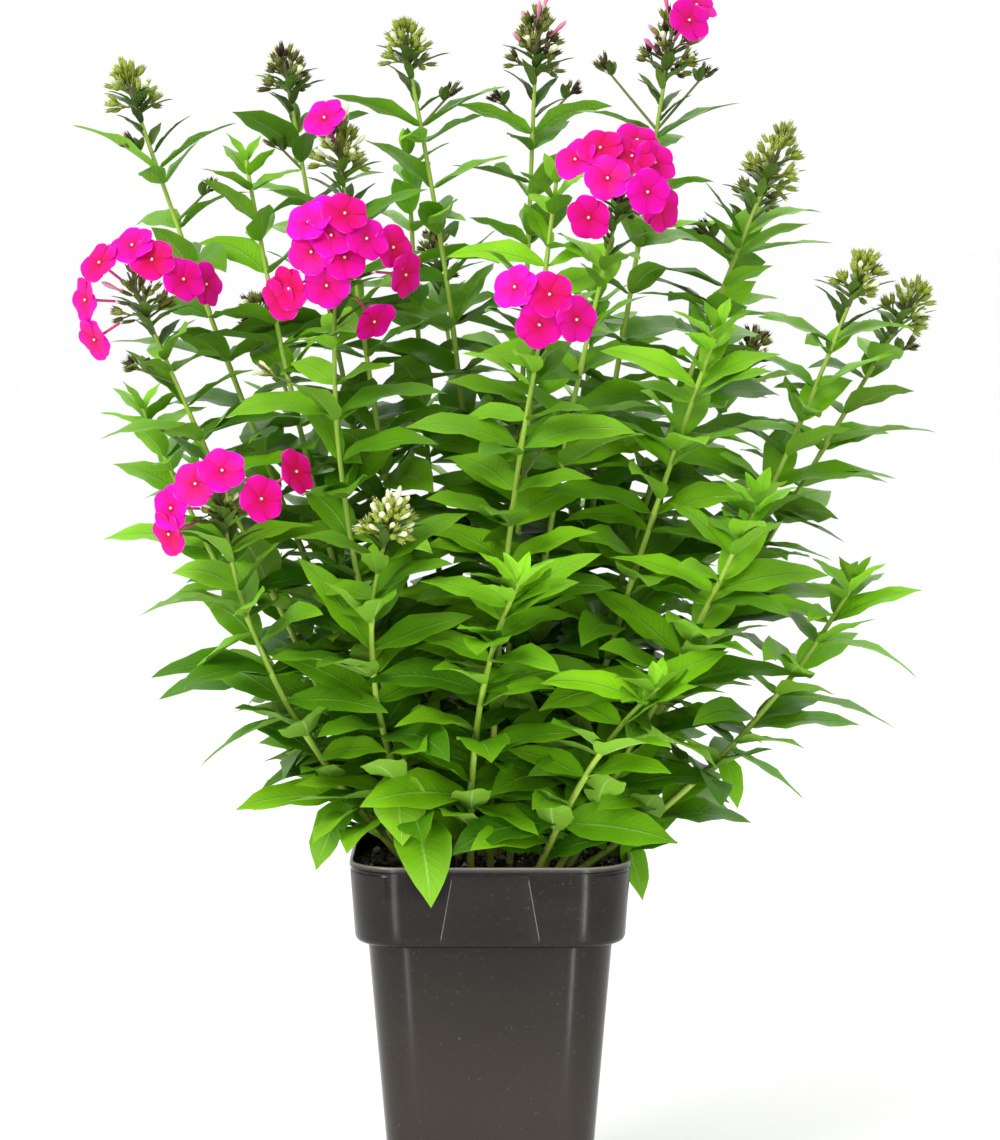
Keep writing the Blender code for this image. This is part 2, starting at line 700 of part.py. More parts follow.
def spray_pieces(stem):
    """Branches and buds of the small bud sprays that leave the stem below its head."""
    pieces = []
    for name, share, turn, reach, rise in SPRAYS:
        if name != stem.name:
            continue
        root = stem_point(stem, share)
        heading = Vector((math.cos(math.radians(turn)), math.sin(math.radians(turn)), 0))
        tip = root + heading * reach * MM + Vector((0, 0, rise * MM))
        along = (tip - root).normalized()
        across = along.orthogonal().normalized()
        pieces.append(bud_rings(root, tip + along * 2 * MM, 1.0 * MM))
        for number in range(3):
            around = Matrix.Rotation(math.radians(120) * number + 0.4, 3, along) @ across
            end = tip + along * 7 * MM + around * 5.5 * MM
            pieces.append(bud_rings(tip - along * 2.5 * MM, end, BUD_RADIUS))
    return pieces


def touching_groups(florets):
    """The florets sorted into groups that hold together as one body."""
    trees = [tree_of(floret_rings(*floret))[0] for floret in florets]
    groups = []
    for index, tree in enumerate(trees):
        joined = [group for group in groups if any(tree.overlap(trees[other]) for other in group)]
        merged = sorted([index] + [other for group in joined for other in group])
        groups = [group for group in groups if group not in joined] + [merged]
    return sorted(groups)


def plant_heads(room):
    """Stalks, buds and florets of every head, entered in the room before any leaf."""
    heads = {}
    for stem in STEMS:
        if stem.name not in HEADS:
            continue
        stalk, buds, florets = head_pieces(stem)
        heads[stem.name] = (stalk, buds, florets)
        for rings in [stalk] + buds:
            room.add("head_" + stem.name, rings)
        for centre, facing in florets:
            room.add("florets_" + stem.name, floret_rings(centre, facing))
            room.add("florets_" + stem.name, tube_rings(centre, facing))
    return heads


def plant_leaves(room):
    """Every leaf of every stem, cleared of the stems, heads and leaves that came before."""
    changes = tries()
    found = {}
    for stem in STEMS:
        found[stem.name] = []
        for leaf in rosette_leaves(stem) if stem.crown == "rosette" else []:
            placed = place_blade(room, stem.name, leaf, changes)
            if placed:
                found[stem.name].append(placed)
    most = max(stem.pairs for stem in STEMS)
    for number in range(2 * most):
        for stem in STEMS:
            wished = wished_leaves(stem)
            if number < len(wished):
                placed = place_blade(room, stem.name, wished[number], changes)
                if placed:
                    found[stem.name].append(placed)
    return found


def stem_rings(stem):
    """The stem's outline for the room: a slightly wide five-sided tube."""
    rings = []
    for step in range(STEM_STEPS + 1):
        share = step / STEM_STEPS
        radius = 1.2 * stem_radius(share)
        rings.append(ring_round(stem_point(stem, share), stem_direction(stem, share), radius, 5))
    return rings


def build():
    for old in list(bpy.data.objects):
        bpy.data.objects.remove(old)
    parts = bpy.data.collections.new("potted_phlox")
    bpy.context.scene.collection.children.link(parts)
    leaf_green = material("leaf_green", LEAF_GREEN, 0.5)
    bud_green = material("bud_green", BUD_GREEN, 0.6)
    petal = material("petal_magenta", PETAL_MAGENTA, 0.5)

    feet = []
    for stem in STEMS:
        direction = stem_direction(stem, 0)
        feet.append((stem_point(stem, 0) - direction * ROOTED, direction))
    keep(pot(), material("pot_plastic", POT_GREY, 0.25), parts)
    keep(soil(feet), material("soil_brown", SOIL_BROWN, 0.95), parts)

    room = Room()
    for stem in STEMS:
        room.add(stem.name, stem_rings(stem))
        for rings in spray_pieces(stem):
            room.add(stem.name, rings)
    heads = plant_heads(room)
    leaves = plant_leaves(room)

    for stem in STEMS:
        blades = [loft("blade", blade_rings(leaf)) for leaf in leaves[stem.name]]
        sprays = [loft("spray", rings) for rings in spray_pieces(stem)]
        keep(combine(stem_tube(stem), blades + sprays, "UNION"), leaf_green, parts)
    for name, (stalk, buds, florets) in heads.items():
        pieces = [loft("bud", rings) for rings in buds]
        groups = [group for group in touching_groups(florets) if len(group) > 1 or len(florets) == 1]
        for index in set(range(len(florets))) - set(sum(groups, [])):
            pieces.append(loft("corolla", floret_rings(*florets[index])))
            pieces.append(loft("tube", tube_rings(*florets[index], sunk=3 * MM)))
        keep(combine(loft("head_" + name, stalk), pieces, "UNION"), bud_green, parts)
        for number, group in enumerate(groups, 1):
            first = group[0]
            pieces = [loft("tube", tube_rings(*florets[first]))]
            for index in group[1:]:
                pieces.append(loft("corolla", floret_rings(*florets[index])))
                pieces.append(loft("tube", tube_rings(*florets[index])))
            base = loft(f"florets_{name}_{number}", floret_rings(*florets[first]))
            keep(combine(base, pieces, "UNION"), petal, parts)


build()
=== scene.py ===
"""Garden phlox in a square nursery pot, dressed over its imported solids.

Every leaf, bud and floret is placed by the rules that place the solids, so each finished piece
stands where its solid does. Lengths are in metres, +Z is up and -Y is the pot's label side.
"""

import math
import random
from collections import namedtuple
from itertools import product

import bmesh
import bpy
from bpy.props import FloatProperty, FloatVectorProperty, IntProperty, PointerProperty
from mathutils import Matrix, Vector, noise
from mathutils.bvhtree import BVHTree


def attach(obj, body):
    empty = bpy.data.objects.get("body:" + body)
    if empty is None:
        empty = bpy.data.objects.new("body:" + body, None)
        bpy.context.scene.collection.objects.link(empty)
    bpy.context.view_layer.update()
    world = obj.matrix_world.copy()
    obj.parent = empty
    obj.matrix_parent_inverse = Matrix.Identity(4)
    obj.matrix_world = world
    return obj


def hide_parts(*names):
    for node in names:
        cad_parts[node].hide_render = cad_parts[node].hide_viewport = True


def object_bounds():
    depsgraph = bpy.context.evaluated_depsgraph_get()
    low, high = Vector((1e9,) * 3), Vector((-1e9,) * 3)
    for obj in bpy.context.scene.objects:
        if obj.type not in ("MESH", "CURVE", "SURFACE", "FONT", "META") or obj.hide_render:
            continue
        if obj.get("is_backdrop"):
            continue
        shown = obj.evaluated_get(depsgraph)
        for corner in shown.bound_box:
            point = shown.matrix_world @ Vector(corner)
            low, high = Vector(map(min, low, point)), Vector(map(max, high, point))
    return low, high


bl_info = {
    "name": "Potted phlox",
    "version": (1, 0, 0),
    "blender": (4, 5, 0),
    "location": "3D View > Sidebar > Phlox",
    "description": "Dresses the packed model of a garden phlox in its pot",
    "category": "Object",
}

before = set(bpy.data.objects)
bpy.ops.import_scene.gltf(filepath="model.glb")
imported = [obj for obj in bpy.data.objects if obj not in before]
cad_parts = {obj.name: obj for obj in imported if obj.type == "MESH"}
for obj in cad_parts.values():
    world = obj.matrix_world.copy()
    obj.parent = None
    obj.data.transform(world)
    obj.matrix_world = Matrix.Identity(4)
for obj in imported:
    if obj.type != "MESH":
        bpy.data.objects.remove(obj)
LOW, HIGH = (Vector(corner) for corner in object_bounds())

MM = 0.001

# Pot, in metres. Widths are across the flats of the rounded square.
POT_HEIGHT = 235 * MM
RIM_WIDTH = 172 * MM
COLLAR_HEIGHT = 50 * MM
COLLAR_FOOT = POT_HEIGHT - COLLAR_HEIGHT
COLLAR_FOOT_WIDTH = 165 * MM
WALL_TOP_WIDTH = 150 * MM
BASE_WIDTH = 119 * MM
WALL = 1.6 * MM
RIM_CORNER = 32 * MM
BASE_CORNER = 22 * MM
DRAIN_RADIUS = 5 * MM
PANEL_TOP = 46 * MM
PANEL_FOOT = 60 * MM
PANEL_RELIEF = 0.8 * MM
FLOOR_THICKNESS = 2.5 * MM
CREASE = math.radians(35)

# Soil and the holes that the stems stand in.
SOIL_LEVEL = POT_HEIGHT - 15 * MM
SOIL_CROWN = 5 * MM
SOIL_RINGS = 14
GAP = 0.4 * MM
ROOTED = 18 * MM

# Stems and leaves.
FOOT_RADIUS = 2.8 * MM
TIP_RADIUS = 1.5 * MM
STEM_STEPS = 4
ROSETTE_TOP, HEAD_TOP = 0.88, 0.93
BLADE_THICKNESS = 1.0 * MM
KEEL = 0.08
WIDEST = 0.41**0.8 * 0.59**1.15
BLADE_STATIONS = (0.27, 0.62)
SMALL_STATIONS = (0.42,)
SMALL_BLADE = 78 * MM
CLEARANCE = 1.0 * MM
MOST_RISE = math.radians(75)
BOX_MARGIN = 4 * MM
PLANT_MIDDLE = (0, 60 * MM)

# Flower heads and florets.
FLORET_RADIUS = 14.5 * MM
TUBE_LENGTH = 19 * MM
TUBE_RADIUS = 1.4 * MM
BUD_LENGTH = 10 * MM
BUD_RADIUS = 1.7 * MM
DOME_DEPTH = 0.62
DOME_PUSHES = (0, 1.5, 3, -1.5, 4.5, 6, -3, 7.5, 9, -4.5, 10.5, 12, -6, 0)
GOLDEN_ANGLE = math.radians(137.5)

Stem = namedtuple("Stem", "name foot middle tip pairs turn crown")
Head = namedtuple("Head", "height radius buds dome front back")
Leaf = namedtuple("Leaf", "root azimuth rise arch length width roll")

# Each stem: its foot on the soil (x, y), the point it passes half way up and its tip (x, y, z), all
# in millimetres, then its pairs of leaves, the first pair's turn in degrees and what crowns it.
STEMS = (
    Stem("left_tall", (-34, 24), (-134, 48, 452), (-221, 62, 688), 7, 10, "bud_head"),
    Stem("left_back", (-22, 38), (-82, 74, 466), (-127, 84, 700), 7, 40, "bud_head"),
    Stem("left_young", (-40, 6), (-106, 22, 440), (-153, 38, 664), 6, 0, "rosette"),
    Stem("left_single", (-20, 14), (-62, 30, 440), (-91, 15, 647), 7, 20, "head"),
    Stem("left_cluster", (-29, -13), (-82, -38, 412), (-93, -62, 576), 6, 5, "head"),
    Stem("middle_left", (-6, 32), (-14, 46, 470), (-50, 52, 715), 7, 15, "bud_head"),
    Stem("middle_left_young", (-11, 54), (-38, 88, 446), (-53, 100, 668), 6, 50, "rosette"),
    Stem("middle_tall", (7, 47), (18, 68, 462), (28, 78, 712), 7, 0, "bud_head"),
    Stem("right_tall", (19, 33), (68, 50, 462), (109, 58, 709), 7, 5, "head"),
    Stem("right_cluster", (12, -4), (35, -20, 424), (75, -42, 620), 6, 30, "head"),
    Stem("middle_young", (4, 14), (17, 6, 426), (41, 4, 650), 6, 70, "rosette"),
    Stem("right_green", (35, 14), (94, 20, 438), (169, 28, 641), 7, 20, "bud_head"),
    Stem("right_back", (38, 33), (102, 68, 430), (166, 84, 627), 6, 60, "bud_head"),
    Stem("right_outer", (50, 2), (145, 2, 396), (221, -6, 573), 7, 10, "bud_head"),
    Stem("right_edge", (52, 19), (156, 32, 392), (252, 24, 555), 6, 0, "bud_head"),
    Stem("right_bright", (34, -13), (84, -48, 398), (137, -76, 562), 7, 15, "rosette"),
    Stem("right_front", (40, -32), (106, -72, 344), (160, -104, 462), 6, 10, "rosette"),
    Stem("right_low", (55, -16), (150, -36, 304), (223, -38, 404), 5, 5, "rosette"),
    Stem("right_short", (28, -40), (62, -84, 298), (100, -122, 350), 3, 20, "rosette"),
    Stem("front_young", (-12, -36), (-6, -92, 334), (18, -146, 416), 5, 8, "rosette"),
    Stem("front_cluster", (0, -16), (8, -66, 400), (30, -98, 554), 6, 0, "head"),
    Stem("front_left", (-32, -32), (-68, -84, 336), (-62, -128, 435), 5, 25, "bud_head"),
    Stem("left_loose", (-48, -19), (-124, -66, 334), (-157, -98, 441), 5, 12, "head"),
    Stem("left_outer", (-52, 0), (-138, -12, 402), (-207, -24, 559), 6, 20, "head"),
    Stem("left_edge", (-55, 19), (-138, 28, 345), (-220, 42, 508), 6, 0, "rosette"),
    Stem("rear_left", (-32, 50), (-96, 122, 404), (-148, 172, 545), 4, 30, "bud_head"),
    Stem("rear_middle", (-2, 62), (-14, 142, 424), (-34, 192, 580), 4, 15, "head"),
    Stem("rear_right", (24, 56), (52, 138, 424), (70, 184, 570), 5, 60, "rosette"),
    Stem("rear_outer_right", (44, 46), (104, 112, 390), (162, 150, 520), 5, 20, "head"),
    Stem("rear_outer_left", (-50, 37), (-124, 88, 352), (-192, 122, 466), 4, 45, "rosette"),
)

# Each head, on the stem of that name: its height and half width in millimetres, its buds, the radius
# of the dome that its florets lie on, and the florets' places across and above its middle, first
# those that face the label's side of the pot, then those that face away.
HEADS = {
    "left_tall": Head(38, 14, 9, 0, (), ()),
    "left_back": Head(34, 14, 9, 0, (), ()),
    "left_single": Head(44, 18, 10, 28, ((-11, 17),), ()),
    "left_cluster": Head(
        54, 20, 4, 42,
        (
            (-1, 12), (-6, 31), (7, 25), (-15, 20), (20, 10), (-13, 2), (7, -1), (-27, -20), (-4, -18),
            (-38, -30), (37, 5), (43, -12), (24, -40),
        ),
        (),
    ),
    "middle_left": Head(34, 14, 9, 0, (), ()),
    "middle_tall": Head(48, 20, 12, 0, (), ()),
    "right_tall": Head(52, 20, 11, 30, ((20, 22), (12, 8)), ()),
    "right_cluster": Head(
        44, 17, 3, 38,
        ((10, 20), (-9, 25), (15, 34), (-24, 18), (24, 16), (-4, 4), (15, -3), (28, -12), (-16, -17)),
        (),
    ),
    "right_green": Head(50, 18, 11, 0, (), ()),
    "right_back": Head(40, 14, 8, 0, (), ()),
    "right_outer": Head(34, 14, 9, 0, (), ()),
    "right_edge": Head(36, 15, 9, 0, (), ()),
    "front_cluster": Head(40, 15, 4, 42, ((5, 7), (-17, 13), (-1, -11), (21, -8)), ()),
    "front_left": Head(30, 14, 10, 0, (), ()),
    "left_loose": Head(40, 18, 6, 44, ((0, 17), (-16, 9), (-34, -6), (-33, -22), (23, 0), (43, 15)), ()),
    "left_outer": Head(
        44, 20, 6, 40, ((3, 19), (-10, 29), (-30, 17), (-38, -6), (-29, -27), (22, 7), (39, 5)), ()
    ),
    "rear_left": Head(32, 13, 8, 0, (), ()),
    "rear_middle": Head(40, 15, 8, 0, (), ()),
    "rear_outer_right": Head(38, 15, 8, 0, (), ()),
}

# Bud sprays on thin side branches below a head: the stem's name, the share of the stem's height
# where the branch leaves, its direction in degrees, its length and its rise in millimetres.
SPRAYS = (
    ("left_tall", 0.93, 200, 16, 14), ("left_tall", 0.86, 5, 20, 20), ("left_back", 0.90, 185, 16, 16),
    ("middle_left", 0.93, 10, 18, 20), ("middle_tall", 0.93, 190, 22, 22), ("middle_tall", 0.93, -5, 24, 26),
    ("right_tall", 0.94, 170, 32, 38), ("right_tall", 0.94, 10, 30, 34), ("right_edge", 0.92, 0, 22, 14),
    ("left_cluster", 0.80, 175, 40, 18), ("front_cluster", 0.70, 15, 32, 44),
    ("right_green", 0.90, 185, 18, 14), ("left_outer", 0.88, 195, 24, 10),
)


def pot_width(z):
    """The wall's outer width at height z, below the collar."""
    share = z / COLLAR_FOOT
    return BASE_WIDTH + (WALL_TOP_WIDTH - BASE_WIDTH) * share


def soil_height(x, y):
    """The height of the crowned soil at x, y, near the middle of the pot."""
    half = RIM_WIDTH / 2 - 8 * MM
    return SOIL_LEVEL + SOIL_CROWN * max(0, 1 - max(abs(x), abs(y)) / half)


def bend_point(stem, share):
    """The point of the stem's smooth bend at a share of its way from the soil to its tip."""
    x, y = stem.foot[0] * MM, stem.foot[1] * MM
    foot = Vector((x, y, soil_height(x, y)))
    middle, tip = Vector(stem.middle) * MM, Vector(stem.tip) * MM
    pull = 2 * middle - (foot + tip) / 2
    return foot * (1 - share) ** 2 + pull * 2 * share * (1 - share) + tip * share**2


def ring_round(middle, axis, radius, sides):
    """A regular ring of points about an axis."""
    across = axis.orthogonal().normalized() * radius
    step = math.tau / sides
    return [middle + Matrix.Rotation(step * turn, 3, axis) @ across for turn in range(sides)]


def square_to(axis, turn):
    """A direction square to axis, turned about it."""
    return Matrix.Rotation(turn, 3, axis) @ axis.orthogonal().normalized()


def stem_point(stem, share):
    """The point of the stem's centre line, which runs straight from one of its sections to the next."""
    place = min(max(share, 0), 1) * STEM_STEPS
    low = min(int(place), STEM_STEPS - 1)
    return bend_point(stem, low / STEM_STEPS).lerp(bend_point(stem, (low + 1) / STEM_STEPS), place - low)


def heading_of(azimuth):
    """The level direction at an azimuth in radians."""
    return Vector((math.cos(azimuth), math.sin(azimuth), 0))


def leafy_span(stem):
    """The shares of the stem's height where its lowest and its highest pair of leaves stand."""
    return 0.17 if stem.tip[2] > 500 else 0.22, HEAD_TOP if stem.crown != "rosette" else ROSETTE_TOP


def stem_radius(share):
    return FOOT_RADIUS + (TIP_RADIUS - FOOT_RADIUS) * share


def stem_direction(stem, share):
    return (bend_point(stem, share + 0.01) - bend_point(stem, share - 0.01)).normalized()


def blade_frame(leaf, share):
    """The midrib's point at a share of the blade's length, with its side and upward directions."""
    heading = heading_of(leaf.azimuth)
    slope = leaf.rise - leaf.arch * share
    out = (math.sin(leaf.rise) - math.sin(slope)) / leaf.arch
    up = (math.cos(slope) - math.cos(leaf.rise)) / leaf.arch
    point = leaf.root + (heading * out + Vector((0, 0, 1)) * up) * leaf.length
    side = Vector((-heading.y, heading.x, 0))
    up = (heading * math.cos(slope) + Vector((0, 0, math.sin(slope)))).cross(side)
    turned = side * math.cos(leaf.roll) + up * math.sin(leaf.roll)
    return point, turned, up * math.cos(leaf.roll) - side * math.sin(leaf.roll)


def blade_half_width(leaf, share):
    """The lance shape of a phlox leaf: widest two fifths of the way up, drawn out to the tip."""
    return 1.06 * leaf.width / 2 * share**0.8 * (1 - share) ** 1.15 / WIDEST


def blade_rings(leaf):
    """Rings for a keeled blade: a point, the two edges and the keel at each station, and the tip."""
    rings = [[leaf.root]]
    for share in stations(leaf):
        point, side, up = blade_frame(leaf, share)
        half = blade_half_width(leaf, share)
        top = point + up * (BLADE_THICKNESS / 2)
        keel = point - up * (BLADE_THICKNESS / 2 + KEEL * half)
        rings.append([top + side * half, top - side * half, keel])
    rings.append([blade_frame(leaf, 1)[0]])
    return rings


def blade_room(leaf):
    """Rings for the room that a blade asks for: a flat box that stands off it on all sides."""
    rings = [[leaf.root]]
    for share in stations(leaf):
        point, side, up = blade_frame(leaf, share)
        half = blade_half_width(leaf, share)
        wide = side * (half + CLEARANCE)
        top = point + up * (BLADE_THICKNESS / 2 + CLEARANCE)
        foot = point - up * (BLADE_THICKNESS / 2 + KEEL * half + CLEARANCE)
        rings.append([top + wide, top - wide, foot - wide, foot + wide])
    rings.append([blade_frame(leaf, 1 + CLEARANCE / leaf.length)[0]])
    return rings


def tree_of(rings):
    """A search tree of a loft's triangles."""
    points, faces, starts = [], [], []
    for ring in rings:
        starts.append(len(points))
        points += ring
    for i in range(len(rings) - 1):
        low, high = len(rings[i]), len(rings[i + 1])
        around = max(low, high)
        for j in range(around):
            k = (j + 1) % around
            a, b = starts[i] + j % low, starts[i] + k % low
            c, d = starts[i + 1] + k % high, starts[i + 1] + j % high
            if low > 1:
                faces.append((a, b, c))
            if high > 1:
                faces.append((a, c, d))
    return BVHTree.FromPolygons(points, faces), points


class Room:
    """What is already in the plant, so that a new blade can be tried against it."""

    def __init__(self):
        self.trees = []

    def box(self, points):
        low = [min(point[i] for point in points) - 2 * CLEARANCE for i in range(3)]
        high = [max(point[i] for point in points) + 2 * CLEARANCE for i in range(3)]
        return low, high

    def add(self, owner, rings):
        tree, points = tree_of(rings)
        self.trees.append((owner, tree, self.box(points)))

    def is_free(self, owner, rings):
        tree, points = tree_of(rings)
        low, high = self.box(points)
        for other_owner, other, (other_low, other_high) in self.trees:
            if other_owner == owner:
                continue
            if any(low[i] > other_high[i] or other_low[i] > high[i] for i in range(3)):
                continue
            if tree.overlap(other):
                return False
        return True


def tries():
    """Changes to a blade, the smallest first: turn and rise in radians, and share of length."""
    turns = [math.radians(angle) for angle in (0, 12, -12, 24, -24, 38, -38)]
    rises = [math.radians(angle) for angle in (0, 12, -12, 24, -24, 36)]
    changes = product(turns, rises, (1, 0.88, 0.76, 0.62))
    return sorted(changes, key=lambda change: abs(change[0]) + 1.2 * abs(change[1]) + 2.2 * (1 - change[2]))


def tip_inside(leaf):
    """Whether a blade's tip keeps within the solids' box."""
    tip = blade_frame(leaf, 1)[0]
    return all(LOW[i] + BOX_MARGIN < tip[i] < HIGH[i] - BOX_MARGIN for i in range(3))


def plant_in_turn(room, wished, asked, allowed):
    """Places the wished leaves, one from each stem in turn, as near to the wish as the room allows.

    asked gives the room that a blade asks for, and allowed says whether it may stand there at all."""
    changes = tries()
    found = {name: [] for name in wished}
    for number in range(max(map(len, wished.values()))):
        for name, leaves in wished.items():
            for turn, rise, share in changes if number < len(leaves) else ():
                leaf = leaves[number]
                tried = leaf._replace(
                    azimuth=leaf.azimuth + turn,
                    rise=min(leaf.rise + rise, MOST_RISE),
                    length=leaf.length * share,
                    width=leaf.width * share,
                )
                if allowed(tried) and room.is_free(name, asked(tried)):
                    room.add(name, blade_rings(tried))
                    found[name].append(tried)
                    break
    return found


def leaf_root(stem, share, azimuth):
    """A blade's root: inside the stem, on the blade's own side."""
    return stem_point(stem, share) + heading_of(azimuth) * 0.3 * stem_radius(share)


def leaf_roll(root, azimuth, draw):
    """A blade's roll about its midrib, which turns its upper face away from the plant's middle."""
    outward = (root.xy - Vector(PLANT_MIDDLE)).normalized()
    across = Vector((-math.sin(azimuth), math.cos(azimuth)))
    return -outward.dot(across) * math.radians(34) + math.radians(draw.uniform(-12, 12))


def stations(leaf):
    """Where a blade's sections lie: a small one needs only the widest."""
    return SMALL_STATIONS if leaf.length < SMALL_BLADE else BLADE_STATIONS


def leaf_at(stem, share, azimuth, rise, arch, length, width, roll=0.0):
    """A leaf on the stem at a share of its height; rise and arch are in degrees."""
    rise, arch = math.radians(rise), math.radians(arch)
    return Leaf(leaf_root(stem, share, azimuth), azimuth, rise, arch, length, width, roll)


def wished_leaves(stem):
    """The opposite pairs that the stem would carry with nothing in their way, from the top down."""
    draw = random.Random(stem.name)
    leaves = []
    lowest, highest = leafy_span(stem)
    for pair in range(stem.pairs):
        share = lowest + (highest - lowest) * pair / (stem.pairs - 1)
        node = stem_point(stem, share)
        low = max(0, 1 - (node.z - SOIL_LEVEL) / (110 * MM))
        top = max(0, share - 0.62) / 0.38
        for side in (0, 1):
            length = (78 - 10 * low - 26 * top) * MM * draw.uniform(0.9, 1.1)
            azimuth = math.radians(stem.turn + 90 * pair + 180 * side + draw.uniform(-14, 14))
            rise = 26 + 16 * top - 8 * low + draw.uniform(-9, 9)
            arch = 46 + draw.uniform(-14, 14)
            width = length * (0.37 + 0.08 * low - 0.04 * top)
            roll = leaf_roll(node, azimuth, draw)
            leaves.append(leaf_at(stem, share, azimuth, rise, arch, length, width, roll))
    return leaves[::-1]


def rosette_leaves(stem):
    """The young leaves round a growing tip, shorter and steeper towards the middle."""
    draw = random.Random(stem.name + "_rosette")
    leaves = []
    for pair, side in product(range(3), (0, 1)):
        length = (44 - 10 * pair) * MM * draw.uniform(0.9, 1.1)
        azimuth = math.radians(stem.turn + 45 + 90 * pair + 180 * side + draw.uniform(-10, 10))
        leaves.append(leaf_at(stem, 0.95 + 0.02 * pair, azimuth, 34 + 16 * pair, 34, length, length * 0.36))
    return leaves


def bud_rings(root, tip, radius):
    """A bud or calyx on its stalk: a three-sided spindle, fattest near its tip."""
    axis = (tip - root).normalized()
    middle = tip - axis * min(BUD_LENGTH * 0.6, (tip - root).length * 0.55)
    return [[root], ring_round(middle, axis, radius, 3), [tip]]


def floret_rings(centre, facing):
    """A corolla: five broad lobes in a shallow dish, with its eye a little sunk."""
    across = facing.orthogonal().normalized()
    ring = []
    for step in range(15):
        notch = step % 3 == 0
        reach = FLORET_RADIUS * (0.80 if notch else 1.0)
        lift = -0.9 * MM if notch else 0.6 * MM
        angle = math.radians(24) * step + (0 if notch else math.radians(3) * (1 if step % 3 == 1 else -1))
        ring.append(centre + Matrix.Rotation(angle, 3, facing) @ across * reach + facing * lift)
    return [[centre - facing * 0.6 * MM], ring, [centre - facing * 3.4 * MM]]


def tube_rings(centre, facing):
    """The corolla's tube, from behind its eye to a point in the calyx's mouth."""
    mouth = centre - facing * 1.6 * MM
    return [ring_round(mouth, facing, TUBE_RADIUS, 3), [centre - facing * TUBE_LENGTH]]


def head_middle(stem):
    head = HEADS[stem.name]
    return Vector(stem.tip) * MM + Vector((0, 0, head.height * 0.5 * MM))


def head_florets(stem):
    """Centre and facing of each floret of a head, on a dome round its middle.

    A floret is moved in or out a little where that lets it overlap one that is already there."""
    head = HEADS[stem.name]
    middle = head_middle(stem)
    found, trees = [], []
    for side, places in ((-1, head.front), (1, head.back)):
        for across, above in places:
            left = max(head.dome**2 - across**2 - above**2, (0.3 * head.dome) ** 2)
            depth = DOME_DEPTH * math.sqrt(left)
            outward = Vector((across, side * depth, above + 8)).normalized()
            for push in DOME_PUSHES:
                centre = middle + (Vector((across, side * depth, above)) + outward * push) * MM
                tree = tree_of(floret_rings(centre, outward))[0]
                if not trees or any(tree.overlap(other) for other in trees):
                    break
            found.append((centre, outward))
            trees.append(tree)
    return found


def head_buds(stem, florets):
    """Root and tip of each bud: calyxes under the florets, then closed buds in a golden spiral."""
    head = HEADS[stem.name]
    axis = stem_direction(stem, 0.97)
    foot = Vector(stem.tip) * MM + axis * GAP
    buds = []
    for centre, facing in florets:
        calyx = centre - facing * (TUBE_LENGTH + GAP)
        rise = (calyx - foot).dot(axis) * 0.6
        buds.append((foot + axis * max(rise, 3 * MM), calyx))
    for number in range(head.buds):
        share = (number + 0.5) / head.buds
        lean = math.radians(78 - 64 * share)
        around = square_to(axis, GOLDEN_ANGLE * number)
        root = foot + axis * (head.height * MM * (0.12 + 0.55 * share))
        reach = head.radius * MM * (1.05 - 0.25 * share)
        tip = root + around * (reach * math.sin(lean)) + axis * (reach * math.cos(lean) + 3 * MM)
        buds.append((root, tip))
    return foot, axis, buds


def clear_of_tubes(tip, root, florets):
    """Whether a bud keeps away from every floret's tube and face."""
    for centre, facing in florets:
        for along in range(0, 20, 3):
            spot = centre - facing * along * MM
            for share in (0.5, 0.75, 1.0):
                if (root.lerp(tip, share) - spot).length < 4.5 * MM:
                    return False
        away = tip - centre
        if abs(away.dot(facing)) < 4 * MM and away.length < FLORET_RADIUS * 1.15:
            return False
    return True


def head_pieces(stem):
    """The rings of a head's stalk, of its buds and calyxes, and its florets."""
    florets = head_florets(stem)
    foot, axis, buds = head_buds(stem, florets)
    height = HEADS[stem.name].height * MM
    pieces = [
        [
            ring_round(foot, axis, TIP_RADIUS, 3),
            ring_round(foot + axis * height * 0.5, axis, 1.4 * TIP_RADIUS, 3),
            [foot + axis * height * 0.8],
        ]
    ]
    pieces += [bud_rings(root, tip, BUD_RADIUS * 0.8) for root, tip in buds[: len(florets)]]
    closed = [bud for bud in buds[len(florets):] if clear_of_tubes(bud[1], bud[0], florets)]
    return pieces + [bud_rings(root, tip, BUD_RADIUS) for root, tip in closed], florets


def spray_pieces(stem):
    """Branches and buds of the small bud sprays that leave the stem below its head."""
    pieces = []
    for name, share, turn, reach, rise in SPRAYS:
        if name != stem.name:
            continue
        root = stem_point(stem, share)
        tip = root + heading_of(math.radians(turn)) * reach * MM + Vector((0, 0, rise * MM))
        along = (tip - root).normalized()
        pieces.append(bud_rings(root, tip + along * 2 * MM, 1.0 * MM))
        for number in range(3):
            around = square_to(along, math.radians(120) * number + 0.4)
            end = tip + along * 7 * MM + around * 5.5 * MM
            pieces.append(bud_rings(tip - along * 2.5 * MM, end, BUD_RADIUS))
    return pieces


def plant_heads(room):
    """Enters the stalks, buds and florets of every head in the room, before any leaf."""
    for stem in STEMS:
        if stem.name not in HEADS:
            continue
        pieces, florets = head_pieces(stem)
        for rings in pieces:
            room.add("head_" + stem.name, rings)
        for centre, facing in florets:
            room.add("florets_" + stem.name, floret_rings(centre, facing))
            room.add("florets_" + stem.name, tube_rings(centre, facing))


def plant_leaves(room):
    """Every leaf of every stem, cleared of the stems, heads and leaves that came before."""
    young = {stem.name: rosette_leaves(stem) for stem in STEMS if stem.crown == "rosette"}
    pairs = {stem.name: wished_leaves(stem) for stem in STEMS}
    found = {}
    for name in pairs:
        wished = {name: young.get(name, [])}
        found.update(plant_in_turn(room, wished, blade_room, lambda leaf: True))
    for name, leaves in plant_in_turn(room, pairs, blade_room, lambda leaf: True).items():
        found[name] += leaves
    return found


